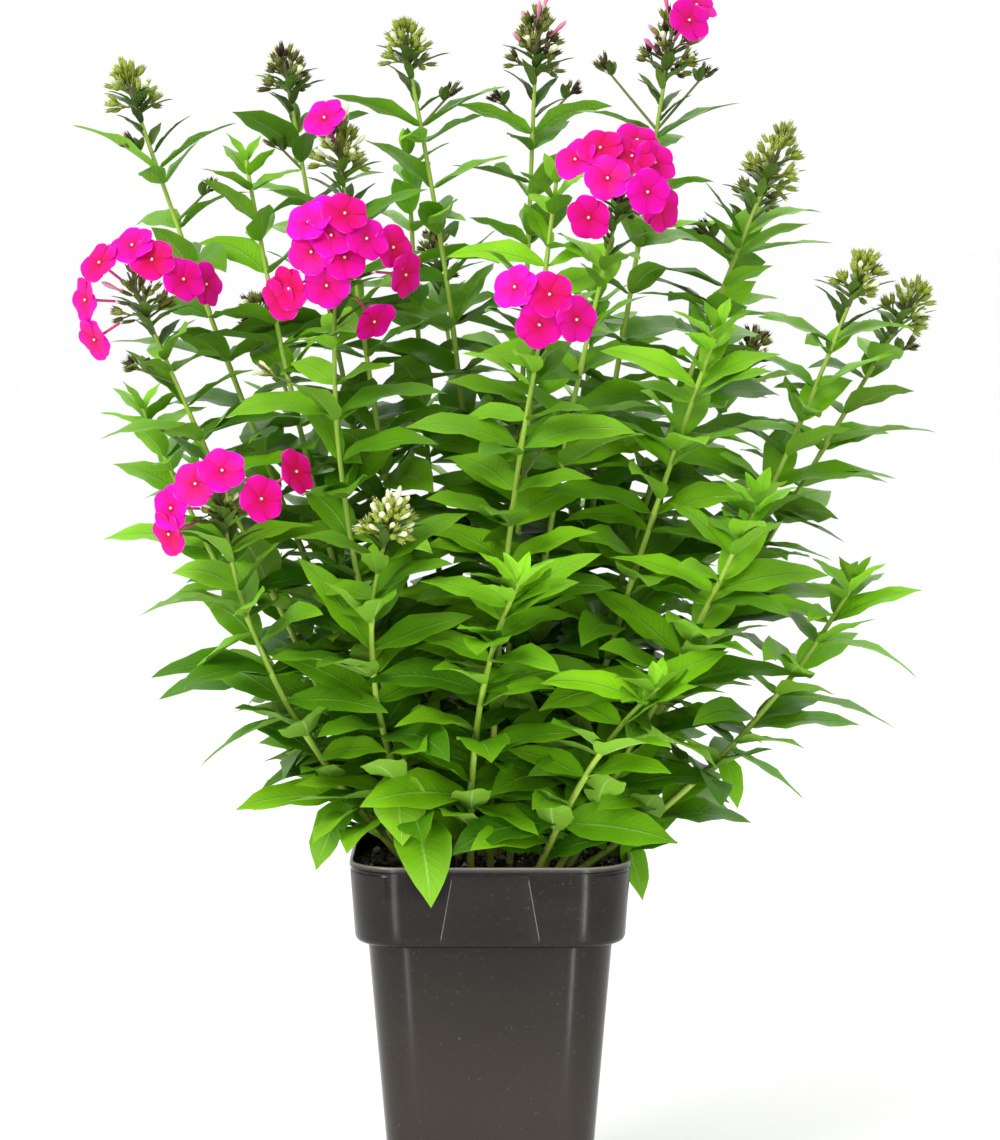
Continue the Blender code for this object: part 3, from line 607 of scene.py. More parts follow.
def stem_rings(stem):
    """The stem's outline for the room: a slightly wide five-sided tube."""
    rings = []
    for step in range(STEM_STEPS + 1):
        share = step / STEM_STEPS
        radius = 1.2 * stem_radius(share)
        rings.append(ring_round(stem_point(stem, share), stem_direction(stem, share), radius, 5))
    return rings


# Leaves that are placed one by one, over the pot's rim and at the plant's sides: the stem's name, the
# share of its height, the leaf's direction, rise and arch in degrees, and its length and width in
# millimetres.
SINGLE_LEAVES = (
    ("left_loose", 0.22, -128, -38, 36, 52, 28),
    ("front_left", 0.23, 184, 4, 12, 72, 30),
    ("front_left", 0.29, -78, -30, 45, 48, 33),
    ("front_left", 0.16, -77, 10, 92, 73, 34),
    ("front_young", 0.19, -30, -8, 42, 50, 25),
    ("right_front", 0.10, 200, 12, 30, 34, 22),
    ("right_low", 0.14, -64, -45, 30, 42, 17),
    ("right_low", 0.66, -12, 4, 38, 78, 20),
    ("right_low", 0.82, -8, 12, 62, 68, 18),
    ("right_low", 0.48, -15, -20, 25, 56, 15),
    ("right_low", 0.46, -60, -50, 25, 36, 15),
    ("left_loose", 0.46, 195, -8, 40, 66, 18),
    ("left_loose", 0.70, 190, -15, 50, 56, 20),
    ("right_green", 0.93, 175, 62, 15, 42, 12),
    ("right_green", 0.90, -12, 22, 30, 62, 14),
    ("right_green", 0.89, 185, 42, 25, 50, 18),
    ("right_green", 0.82, 190, 25, 32, 52, 17),
    ("right_green", 0.80, -8, 20, 40, 56, 16),
    ("right_outer", 0.64, -2, 14, 25, 56, 13),
    ("right_outer", 0.58, -12, 4, 30, 56, 14),
    ("middle_tall", 0.87, 184, 26, 28, 52, 19),
)


def filling_leaves(stem):
    """Smaller leaves between the pairs, from the shoots in their axils, from the top down."""
    draw = random.Random(stem.name + "_filling")
    lowest = leafy_span(stem)[0]
    leaves = []
    for pair, side in product(range(2 * stem.pairs - 1), (0, 1)):
        share = lowest + (0.94 - lowest) * (pair + 0.5) / (2 * stem.pairs - 1)
        top = max(0, share - 0.62) / 0.38
        length = (70 - 26 * top) * MM * draw.uniform(0.75, 1.1)
        azimuth = math.radians(stem.turn + 45 + 90 * pair + 180 * side + draw.uniform(-20, 20))
        rise = 34 + 14 * top + draw.uniform(-16, 16)
        arch = 44 + draw.uniform(-20, 20)
        roll = leaf_roll(stem_point(stem, share), azimuth, draw)
        leaves.append(leaf_at(stem, share, azimuth, rise, arch, length, length * 0.34, roll))
    return leaves[::-1]


def bracts(stem):
    """The small dark leaves under a head."""
    draw = random.Random(stem.name + "_bracts")
    leaves = []
    for number in range(6):
        azimuth = math.radians(stem.turn + 60 * number + draw.uniform(-20, 20))
        length = (30 - 2 * number) * MM * draw.uniform(0.8, 1.2)
        rise = 58 + draw.uniform(-12, 10)
        leaves.append(leaf_at(stem, 0.95 + 0.01 * number, azimuth, rise, 40, length, length * 0.24))
    return leaves


def low_leaves(stem):
    """The leaves that are placed one by one, and the broad ones that hide a stem's foot."""
    draw = random.Random(stem.name + "_low")
    leaves = []
    for name, share, azimuth, rise, arch, length, width in SINGLE_LEAVES:
        if name == stem.name:
            azimuth = math.radians(azimuth)
            leaves.append(leaf_at(stem, share, azimuth, rise, arch, length * MM, width * MM, 0.05))
    for number in range(6):
        share = 0.07 + 0.022 * number
        azimuth = math.radians(stem.turn + 180 * number + 40 * (number // 2) + draw.uniform(-30, 30))
        length = draw.uniform(46, 66) * MM
        rise, arch = draw.uniform(26, 60), draw.uniform(30, 62)
        roll = leaf_roll(leaf_root(stem, share, azimuth), azimuth, draw)
        leaves.append(leaf_at(stem, share, azimuth, rise, arch, length, 0.41 * length, roll))
    return leaves


def plant_filling(room, reach):
    """The filling leaves that the room still allows and that stay within the solids' box."""
    wished = {stem.name: (low_leaves(stem) + filling_leaves(stem))[:reach] for stem in STEMS}
    return plant_in_turn(room, wished, blade_rings, tip_inside)


class Plan:
    """Where every leaf goes, worked out once for all the operators."""

    made = None

    def __init__(self, reach):
        room = Room()
        for stem in STEMS:
            room.add(stem.name, stem_rings(stem))
            for rings in spray_pieces(stem):
                room.add(stem.name, rings)
        plant_heads(room)
        self.leaves = plant_leaves(room)
        self.filling = plant_filling(room, reach)

    @classmethod
    def get(cls):
        if cls.made is None:
            cls.made = cls(bpy.context.scene.phlox.leaves.filling)
        return cls.made


# Sizes and colours that a user may change.


def colour(name, description, default):
    return FloatVectorProperty(name=name, description=description, default=default, subtype="COLOR")


def amount(name, description, default, **limits):
    return FloatProperty(name=name, description=description, default=default, **limits)


def count(name, description, default, least):
    return IntProperty(name=name, description=description, default=default, min=least)


class PotSettings(bpy.types.PropertyGroup):
    corner_steps: count("Corner steps", "Faces round each corner of the pot", 12, 4)
    lip: amount("Lip", "Height of the thick rolled lip", 4 * MM, unit="LENGTH")
    plastic: colour("Plastic", "Colour of the pot", (0.0040, 0.0031, 0.0023))
    roughness: amount("Roughness", "How dull the plastic is", 0.17, subtype="FACTOR")


class SoilSettings(bpy.types.PropertyGroup):
    density: amount("Crumbs", "Crumbs on each square metre of soil", 105000.0, min=0)
    crumb: amount("Crumb size", "Radius of a middling crumb", 1.5 * MM, unit="LENGTH")
    peat: colour("Peat", "Colour of the peat", (0.022, 0.013, 0.008))
    bark: colour("Bark", "Colour of the bark chips", (0.21, 0.085, 0.028))


class LeafSettings(bpy.types.PropertyGroup):
    filling: count("Filling", "Most filling leaves tried on one stem", 40, 0)
    fold: amount("Fold", "How far each half rises from the midrib", 0.42, subtype="ANGLE")
    wave: amount("Wave", "Share of the half width that the edge waves by", 0.13)
    thickness: amount("Thickness", "Thickness of a blade", 0.45 * MM, unit="LENGTH")
    top: colour("Top", "Colour of the upper face", (0.072, 0.29, 0.003))
    under: colour("Underside", "Colour of the lower face", (0.15, 0.31, 0.022))
    young: colour("Young", "Colour of a young leaf", (0.25, 0.60, 0.010))


class BudSettings(bpy.types.PropertyGroup):
    fullness: amount("Fullness", "Buds drawn for each bud of the solid", 4.6, min=1)
    dark: colour("Calyx", "Colour of the calyxes", (0.030, 0.012, 0.008))
    tip: colour("Teeth", "Colour of the calyxes' teeth", (0.72, 0.68, 0.32))
    blossom: colour("Closed buds", "Colour of the closed petals", (0.72, 0.13, 0.45))


class FloretSettings(bpy.types.PropertyGroup):
    petal: colour("Petals", "Colour of the petals", (0.66, 0.0, 0.22))
    deep: colour("Throat", "Colour round the eye", (0.42, 0.0, 0.10))
    eye: colour("Eye", "Colour of the eye", (0.85, 0.66, 0.30))


class StageSettings(bpy.types.PropertyGroup):
    floor: colour("Floor", "Colour of the floor", (0.99, 0.99, 0.99))
    key: amount("Key light", "Power of the key light", 62.0, unit="POWER")
    fill: amount("Fill light", "Power of the fill light", 9.0, unit="POWER")
    sky: amount("Sky", "Strength of the even light", 1.01, min=0)


class PhloxSettings(bpy.types.PropertyGroup):
    pot: PointerProperty(type=PotSettings)
    soil: PointerProperty(type=SoilSettings)
    leaves: PointerProperty(type=LeafSettings)
    buds: PointerProperty(type=BudSettings)
    florets: PointerProperty(type=FloretSettings)
    stage: PointerProperty(type=StageSettings)


# Node trees.


class Wire:
    """An output socket, with Python's operators for the maths nodes that work on it."""

    def __init__(self, graph, socket):
        self.graph = graph
        self.socket = socket

    def other(self, name):
        return Wire(self.graph, self.socket.node.outputs[name])

    def join(self, operation, *values):
        vector = any(isinstance(value, Wire) and value.socket.type == "VECTOR" for value in values)
        kind = "ShaderNodeVectorMath" if vector else "ShaderNodeMath"
        return self.graph.node(kind, {"operation": operation}, dict(enumerate(values)))

    def call(self, operation, *values):
        return self.graph.node("ShaderNodeMath", {"operation": operation}, dict(enumerate((self, *values))))

    def vector(self, operation, inputs):
        return self.graph.node("ShaderNodeVectorMath", {"operation": operation}, {0: self, **inputs})

    def scaled(self, share):
        return self.vector("SCALE", {"Scale": share})

    def cross(self, value):
        return self.vector("CROSS_PRODUCT", {1: value})

    def unit(self):
        return self.vector("NORMALIZE", {})

    def clipped(self):
        return self.graph.node("ShaderNodeClamp", {}, {"Value": self})

    def __abs__(self):
        return self.call("ABSOLUTE")


for sign, operation in {
    "add": "ADD",
    "sub": "SUBTRACT",
    "mul": "MULTIPLY",
    "truediv": "DIVIDE",
    "pow": "POWER",
    "gt": "GREATER_THAN",
    "lt": "LESS_THAN",
}.items():
    setattr(Wire, f"__{sign}__", lambda self, value, work=operation: self.join(work, self, value))
    if sign in ("add", "sub", "mul"):
        setattr(Wire, f"__r{sign}__", lambda self, value, work=operation: self.join(work, value, self))


class Graph:
    """A node tree under construction; every node comes from its node method."""

    def __init__(self, tree):
        self.tree = tree

    def sockets(self, inputs, output):
        """Gives the tree its inputs, each of the kind named, and its output; returns the inputs' wires."""
        for name, kind in inputs.items():
            self.tree.interface.new_socket(name=name, in_out="INPUT", socket_type="NodeSocket" + kind)
        self.tree.interface.new_socket(name=output, in_out="OUTPUT", socket_type="NodeSocketGeometry")
        entry = self.tree.nodes.new("NodeGroupInput")
        return {socket.name: Wire(self, socket) for socket in entry.outputs if socket.name}

    def node(self, kind, settings, inputs, out=0):
        """Adds a node of that kind; stops are a ramp's places and colours, and are set first."""
        made = self.tree.nodes.new(kind)
        settings = dict(settings)
        for place, colour in settings.pop("stops", ()):
            ramp = made.color_ramp.elements
            stop = ramp[0] if place == 0 else ramp[-1] if place == 1 else ramp.new(place)
            stop.color = (*colour, 1)
        for name, value in settings.items():
            setattr(made, name, value)
        for key, value in inputs.items():
            self.feed(made.inputs[key], value)
        return Wire(self, made.outputs[out]) if made.outputs else None

    def feed(self, socket, value):
        if isinstance(value, list):
            for wire in value:
                self.feed(socket, wire)
        elif isinstance(value, Wire):
            self.tree.links.new(value.socket, socket)
        elif socket.type == "RGBA":
            socket.default_value = (*value, 1)
        else:
            socket.default_value = value


class Finish(Graph):
    """A material: its Principled shader, fed by expressions on the surface's places and attributes."""

    def __init__(self, name, roughness, **constants):
        self.material = bpy.data.materials.new(name)
        self.material.use_nodes = True
        super().__init__(self.material.node_tree)
        self.shader = self.tree.nodes["Principled BSDF"]
        self.shader.inputs["Roughness"].default_value = roughness
        for key, value in constants.items():
            self.shader.inputs[key.replace("_", " ").title().replace("Ior", "IOR")].default_value = value

    def spread_light(self, radius, scale):
        """How far light spreads under the surface: a radius for each colour, and its scale."""
        self.shader.inputs["Subsurface Radius"].default_value = radius
        self.shader.inputs["Subsurface Scale"].default_value = scale

    def place(self):
        return self.node("ShaderNodeTexCoord", {}, {}, "Object")

    def attribute(self, name, out="Fac"):
        return self.node("ShaderNodeAttribute", {"attribute_name": name}, {}, out)

    def noise(self, scale, detail=2.0, stretch=None):
        place = self.place()
        if stretch:
            place = self.node("ShaderNodeMapping", {}, {"Vector": place, "Scale": stretch})
        return self.node("ShaderNodeTexNoise", {}, {"Vector": place, "Scale": scale, "Detail": detail})

    def mix(self, share, low, high, blend="MIX"):
        settings = {"data_type": "RGBA", "blend_type": blend, "clamp_factor": True}
        return self.node("ShaderNodeMix", settings, {0: share, 6: low, 7: high}, 2)

    def done(self, colour=None, roughness=None, height=None, depth=0.0003, strength=0.5):
        if colour:
            self.feed(self.shader.inputs["Base Color"], colour)
        if roughness:
            self.feed(self.shader.inputs["Roughness"], roughness)
        if height:
            inputs = {"Height": height, "Distance": depth, "Strength": strength}
            self.feed(self.shader.inputs["Normal"], self.node("ShaderNodeBump", {}, inputs))
        return self.material


def plastic_finish(settings):
    """Glossy dark plastic with flow marks and fine dust, and a painted highlight on its lip and on the label
    panel's ribs.
    """
    finish = Finish("pot_plastic_finish", settings.roughness, specular_ior_level=0.24)
    z = finish.node("ShaderNodeSeparateXYZ", {}, {0: finish.place()}, "Z")
    low = ((COLLAR_FOOT + 0.01 - z) * 9.0).clipped()
    flow = finish.noise(9.0, 2.0, (1.0, 1.0, 0.3))
    dust = finish.noise(420.0, 4.0)
    cloud = finish.noise(14.0, 3.0)
    specks = (dust - 0.62).clipped() * 3.0
    tone = finish.mix(low * 0.7 + cloud * 0.3, settings.plastic, tuple(6.5 * c for c in settings.plastic))
    colour = finish.mix(specks * (cloud * 1.2 - 0.25).clipped(), tone, (0.12, 0.10, 0.08))
    # Painted highlight: the rings marked for it are mixed towards light grey, broken up by the flow noise.
    colour = finish.mix(finish.attribute("scuff") * (0.5 + flow * 0.8).clipped(), colour, (0.24, 0.225, 0.20))
    roughness = settings.roughness - 0.06 + flow * 0.10 + specks * 0.35 + cloud * 0.06
    return finish.done(colour, roughness, cloud * 0.6 + dust * 0.10, 0.0004, 0.25)


def soil_finish(settings):
    """Peat with lighter crumbs; a crumb's grain decides whether it is peat, bark or perlite."""
    finish = Finish("potting_mix_finish", 0.95, specular_ior_level=0.25)
    grain = finish.attribute("grain")
    fine = finish.noise(900.0, 3.0)
    stops = [
        (0, settings.peat),
        (0.55, tuple(2.2 * c for c in settings.peat)),
        (0.72, tuple(0.5 * c for c in settings.bark)),
        (0.86, settings.bark),
        (0.935, (0.33, 0.19, 0.08)),
        (0.955, (0.72, 0.70, 0.62)),
        (1, (0.85, 0.84, 0.78)),
    ]
    base = finish.node("ShaderNodeValToRGB", {"stops": stops}, {"Fac": grain})
    colour = finish.mix(fine, finish.mix(0.6, base, (0.0, 0.0, 0.0)), base)
    return finish.done(colour, 0.85 + fine * 0.12, fine, 0.0006, 0.6)


def leaf_finish(settings):
    """A phlox leaf: pale midrib and pinnate veins, darker between them, and a pale underside."""
    finish = Finish("leaf_blade_finish", 0.38, specular_ior_level=0.24, subsurface_weight=0.10)
    finish.spread_light((0.3, 1.0, 0.15), 0.0015)
    along, tint, young = (finish.attribute(name) for name in ("along", "tint", "young"))
    side = abs(finish.attribute("across"))
    under = finish.attribute("face") < -0.001
    cloud = finish.noise(38.0, 3.0)
    midrib = (1.0 - side / 0.085).clipped()
    branches = (along * 15.0 - side * 2.6).call("PINGPONG", 0.5)
    veins = (1.0 - branches / 0.10).clipped() * (1.0 - side).clipped()
    rim = ((side - 0.90) * 10.0).clipped()
    top = finish.mix(cloud * 0.9, tuple(0.5 * c for c in settings.top), settings.top)
    top = finish.mix(((tint - 0.75) * 1.2 + along * along * 0.3).clipped() * 0.7, top, (0.22, 0.42, 0.004))
    top = finish.mix(young, top, settings.young)
    top = finish.mix(veins * 0.30 + midrib * 0.65 + rim * 0.20, top, (0.22, 0.46, 0.07))
    low = finish.mix(veins * 0.5 + midrib * 0.6, settings.under, (0.34, 0.50, 0.16))
    low = finish.mix(young * 0.6, low, settings.young)
    colour = finish.mix(under, top, low)
    colour = finish.mix(finish.attribute("dark"), colour, (0.055, 0.075, 0.020))
    shade = finish.node("ShaderNodeCombineColor", {}, {0: tint, 1: tint, 2: tint})
    colour = finish.mix(1.0, colour, shade, "MULTIPLY")
    height = cloud * 0.6 - veins * 0.9 - midrib * 1.2
    return finish.done(colour, 0.36 + cloud * 0.16 + under * 0.22, height, 0.0006, 0.55)


def stem_finish():
    """Yellow-green stem skin, redder near its foot and lined along its length."""
    finish = Finish("stem_skin_finish", 0.5, specular_ior_level=0.4)
    streak = finish.noise(160.0, 3.0, (1.0, 1.0, 0.12))
    foot = (1.0 - finish.attribute("along") * 2.2).clipped()
    colour = finish.mix(streak, (0.20, 0.36, 0.030), (0.42, 0.58, 0.075))
    colour = finish.mix(foot * 0.35, colour, (0.13, 0.10, 0.035))
    colour = finish.mix(finish.attribute("dark"), colour, (0.075, 0.065, 0.030))
    return finish.done(colour, 0.42 + streak * 0.2, streak, 0.0004, 0.4)


def bud_finish(settings):
    """Calyxes dark towards their teeth, and closed petals paler at their tips."""
    finish = Finish("bud_finish", 0.55, specular_ior_level=0.22)
    along, part, tint = (finish.attribute(name) for name in ("along", "part", "tint"))
    fine = finish.noise(700.0, 2.0)
    stalk = (1.0 - along / 0.42).clipped()
    teeth = ((along - 0.84) * 7.0).clipped()
    calyx = finish.mix(stalk, settings.dark, (0.20, 0.22, 0.045))
    calyx = finish.mix(tint * 1.3 - 0.15, calyx, (0.27, 0.35, 0.035))
    calyx = finish.mix(teeth * (0.25 + tint * 0.75), calyx, settings.tip)
    closed = finish.mix(((along - 0.55) * 2.4).clipped(), (0.62, 0.02, 0.22), settings.blossom)
    closed = finish.mix((tint * 1.5).clipped(), closed, (0.76, 0.80, 0.50))
    colour = finish.mix(part, calyx, closed)
    return finish.done(colour, 0.45 + fine * 0.2, fine, 0.0003, 0.4)


def petal_finish(settings):
    """Magenta petals with fine veins, a dark throat round the eye and a paler edge."""
    finish = Finish("petal_finish", 0.5, specular_ior_level=0.12, subsurface_weight=0.12)
    finish.spread_light((1.0, 0.1, 0.5), 0.002)
    reach, part, tint = (finish.attribute(name) for name in ("along", "part", "tint"))
    side = abs(finish.attribute("across"))
    soft = finish.noise(120.0, 3.0)
    veins = (1.0 - (side * 4.2 + reach * 0.4).call("PINGPONG", 0.5) / 0.14).clipped()
    throat = (1.0 - (reach - 0.06) / 0.16).clipped()
    edge = ((reach - 0.93) * 12.0).clipped()
    outer = finish.mix(((soft - 0.38) * 2.4).clipped() * 0.6 + tint * 0.4, settings.petal, (0.80, 0.0, 0.66))
    colour = finish.mix((1.35 - reach * 1.0 - tint * 0.55).clipped(), outer, (0.52, 0.0, 0.06))
    colour = finish.mix(veins * 0.06, colour, (0.55, 0.0, 0.20))
    colour = finish.mix(edge * 0.30, colour, (1.0, 0.22, 0.62))
    colour = finish.mix(throat * 0.85, colour, settings.deep)
    colour = finish.mix((part > 0.5) * 0.55, colour, (0.72, 0.12, 0.34))
    colour = finish.mix(part > 1.5, colour, settings.eye)
    return finish.done(colour, 0.45 + soft * 0.15, soft * 0.5 - veins * 0.2, 0.0004, 0.5)


# Shapes that are repeated, each with its own attributes. LEAF, BUD and PETAL are the numbers of their
# finishes, after the stem's, which is nought. The kinds of a seed's points are numbered from one.

LEAF, BUD, PETAL = 1.0, 2.0, 3.0
BLADE, CALYX, CLOSED, COROLLA, TUBE = 1.0, 2.0, 3.0, 4.0, 5.0


def body_mesh(points, faces):
    """A mesh under construction; a face that comes back to one of its corners loses that corner."""
    mesh = bmesh.new()
    spots = [mesh.verts.new(point) for point in points]
    for face in faces:
        corners = list(dict.fromkeys(face))
        if len(corners) > 2:
            mesh.faces.new([spots[index] for index in corners])
    mesh.verts.index_update()
    bmesh.ops.recalc_face_normals(mesh, faces=mesh.faces)
    return mesh


def mesh_object(name, mesh, fields):
    """The object of a mesh under construction, with its fields as point attributes."""
    data = bpy.data.meshes.new(name)
    mesh.to_mesh(data)
    mesh.free()
    for field, values in fields.items():
        data.attributes.new(field, "FLOAT", "POINT").data.foreach_set("value", values)
    return bpy.data.objects.new(name, data)


def linked(obj):
    """The object, once it is in the scene."""
    bpy.context.scene.collection.objects.link(obj)
    return obj


def template(name, points, faces, fields, sharp=()):
    """A hidden mesh object that Geometry Nodes repeat."""
    mesh = body_mesh(points, faces)
    for edge in mesh.edges:
        if frozenset(spot.index for spot in edge.verts) in sharp:
            edge.smooth = False
    return mesh_object(name, mesh, fields)


def strip(rows, finish):
    """A thin closed strip: along its length the rows, and across it the upper and the lower face.

    Its fields stand in for its place, which the tree works out for each blade."""
    across = (-1.0, -0.5, 0.0, 0.5, 1.0)
    columns = [(a, 1.0 if abs(a) < 1 else 0.0) for a in across]
    columns += [(a, -1.0) for a in reversed(across[1:-1])]
    points, fields = [], {"along": [], "across": [], "face": [], "finish": [], "part": []}
    faces, starts = [], []
    for along in rows:
        starts.append(len(points))
        for a, face in columns if 0 < along < 1 else [(0.0, 0.0)]:
            points.append(Vector((a, along, 0.05 * face)))
            for key, value in zip(fields, (along, a, face, finish, 0.0)):
                fields[key].append(value)
    around = len(columns)
    sharp = set()
    for low, high, along, ahead in zip(starts, starts[1:], rows, rows[1:]):
        lows = around if 0 < along < 1 else 1
        highs = around if 0 < ahead < 1 else 1
        for j in range(around):
            k = (j + 1) % around
            near, near_on, far, far_on = low + j % lows, low + k % lows, high + j % highs, high + k % highs
            if j < len(across) - 1:
                faces += [(near, near_on, far_on), (near, far_on, far)]
            else:
                faces += [(near, near_on, far), (near_on, far_on, far)]
        for j in (0, len(across) - 1):
            sharp.add(frozenset((low + j % lows, high + j % highs)))
    return points, faces, fields, sharp


def leaf_template():
    rows = (0.0, 0.06, 0.16, 0.29, 0.42, 0.55, 0.68, 0.80, 0.91, 1.0)
    return template("leaf_blade", *strip(rows, LEAF))


def turned(rings, along, part):
    """Points, faces and fields of a closed body through rings, for a bud or a tube."""
    points, faces, fields, starts = [], [], {"along": [], "part": []}, []
    for ring, share in zip(rings, along):
        starts.append(len(points))
        points += [Vector(point) for point in ring]
        fields["along"] += [share] * len(ring)
        fields["part"] += [part] * len(ring)
    for low, high, near, far in zip(starts, starts[1:], rings, rings[1:]):
        around = max(len(near), len(far))
        for j in range(around):
            k = (j + 1) % around
            faces.append((low + j % len(near), low + k % len(near), high + k % len(far), high + j % len(far)))
    for start, ring in ((starts[0], rings[0]), (starts[-1], rings[-1])):
        if len(ring) > 2:
            faces.append(tuple(range(start, start + len(ring))))
    return points, faces, fields


def circle(radius, z, sides, turn=0.0):
    step = math.tau / sides
    return [(radius * math.cos(step * j + turn), radius * math.sin(step * j + turn), z) for j in range(sides)]


def gather(name, bodies, finish):
    """One template from several closed bodies; a body may bring its sharp edges."""
    points, faces, fields = [], [], {"along": [], "part": [], "across": [], "face": []}
    sharp = set()
    for body_points, body_faces, body_fields, *edges in bodies:
        start = len(points)
        for edge in edges[0] if edges else ():
            sharp.add(frozenset(index + start for index in edge))
        points += body_points
        faces += [tuple(index + start for index in face) for face in body_faces]
        for key in fields:
            fields[key] += body_fields.get(key, [0.0] * len(body_points))
    fields["finish"] = [finish] * len(points)
    return template(name, points, faces, fields, sharp)


def lathe(part, rows, along=None):
    """A closed body of rings about the upright axis; each row is a radius, a height, sides and a turn.

    A row without sides is a point, and along is its height where no other is given."""
    rings = [circle(radius, z, *more) if more else [(0, 0, z)] for radius, z, *more in rows]
    return turned(rings, along or [ring[0][2] for ring in rings], part)


def calyx_body(low, high, spread):
    """A calyx from low to high on its stalk: a five-sided tube whose teeth stand off it."""
    size = high - low
    bodies = [lathe(0.0, ((0.22, 0.0, 4), (0.26, low, 4)))]
    swell = ((0.62, low + 0.10 * size, 5), (0.86, low + 0.42 * size, 5), (0.80, low + 0.68 * size, 5))
    bodies.append(lathe(0.0, ((0, low - 0.02), *swell, (0, low + 0.74 * size))))
    for number in range(5):
        out = heading_of(math.tau / 5 * (number + 0.5))
        base = out * 0.62
        side = Vector((-out.y, out.x, 0)) * 0.34
        foot = Vector((0, 0, low + 0.60 * size))
        root = [base + side + foot, base - side + foot, base - out * 0.3 + foot]
        bodies.append(turned([root, [out * spread + Vector((0, 0, high))]], (0.78, 1.0), 0.0))
    return bodies


def calyx_template():
    return gather("calyx", calyx_body(0.42, 1.0, 0.75), BUD)


def closed_bud_template():
    """A closed flower: a slim twisted spindle that stands out of its calyx."""
    twist = ((0.50, 0.46, 6, 0.0), (0.66, 0.62, 6, 0.3), (1.00, 0.80, 6, 0.7), (0.78, 0.92, 6, 1.1))
    petals = lathe(1.0, ((0, 0.36), *twist, (0, 1.0)))
    return gather("closed_bud", calyx_body(0.16, 0.52, 1.0) + [petals], BUD)


def petal_body(number):
    """One of five round lobes; its left edge lies over its neighbour's right edge."""
    rows = (0.0, 0.12, 0.30, 0.50, 0.68, 0.82, 0.92, 0.98, 1.0)
    points, faces, fields, sharp = strip(rows, PETAL)
    turn = Matrix.Rotation(math.tau / 5 * number, 3, "Z")
    for index, (along, across, face) in enumerate(zip(fields["along"], fields["across"], fields["face"])):
        lobe = math.sqrt(max(0.0, 0.36 - max(0.0, along - 0.40) ** 2))
        half = FLORET_RADIUS * min(along + 0.01, lobe)
        z = (-1.0 + 2.3 * along - 1.3 * along * along) * MM - 0.3 * MM * across * across * along
        z += 0.85 * MM * across * along + 0.10 * MM * face
        points[index] = turn @ Vector((half * across, FLORET_RADIUS * along, z))
    return points, faces, fields, sharp


def tube_template():
    """The corolla's slim tube, wider at its mouth."""
    rows = ((0, 0), (0.8, 0.06, 6), (0.8, 0.55, 6), (1.3, 0.97, 6), (0, 1.0))
    return gather("tube", [lathe(1.0, rows, (0.3, 0.4, 0.5, 0.6, 0.6))], PETAL)


def corolla_template():
    """Five lobes round the raised mouth of the tube, which is the flower's eye, in a dark throat."""
    mouth = -0.9 * MM
    eye = ((0.9 * MM, mouth + 0.1 * MM, 8), (0.8 * MM, 0.25 * MM, 8), (0.5 * MM, 0.35 * MM, 8))
    throat = ((2.3 * MM, mouth, 10), (1.9 * MM, mouth + 0.55 * MM, 10))
    bodies = [petal_body(number) for number in range(5)]
    bodies.append(lathe(2.0, ((0, mouth - 0.2 * MM), *eye, (0, -0.1 * MM)), (0.1,) * 5))
    bodies.append(lathe(0.0, ((0, mouth - 0.5 * MM), *throat, (0, mouth + 0.4 * MM)), (0.0,) * 4))
    return gather("corolla", bodies, PETAL)


# The tree that grows stems, leaves, buds and florets from their seed points.


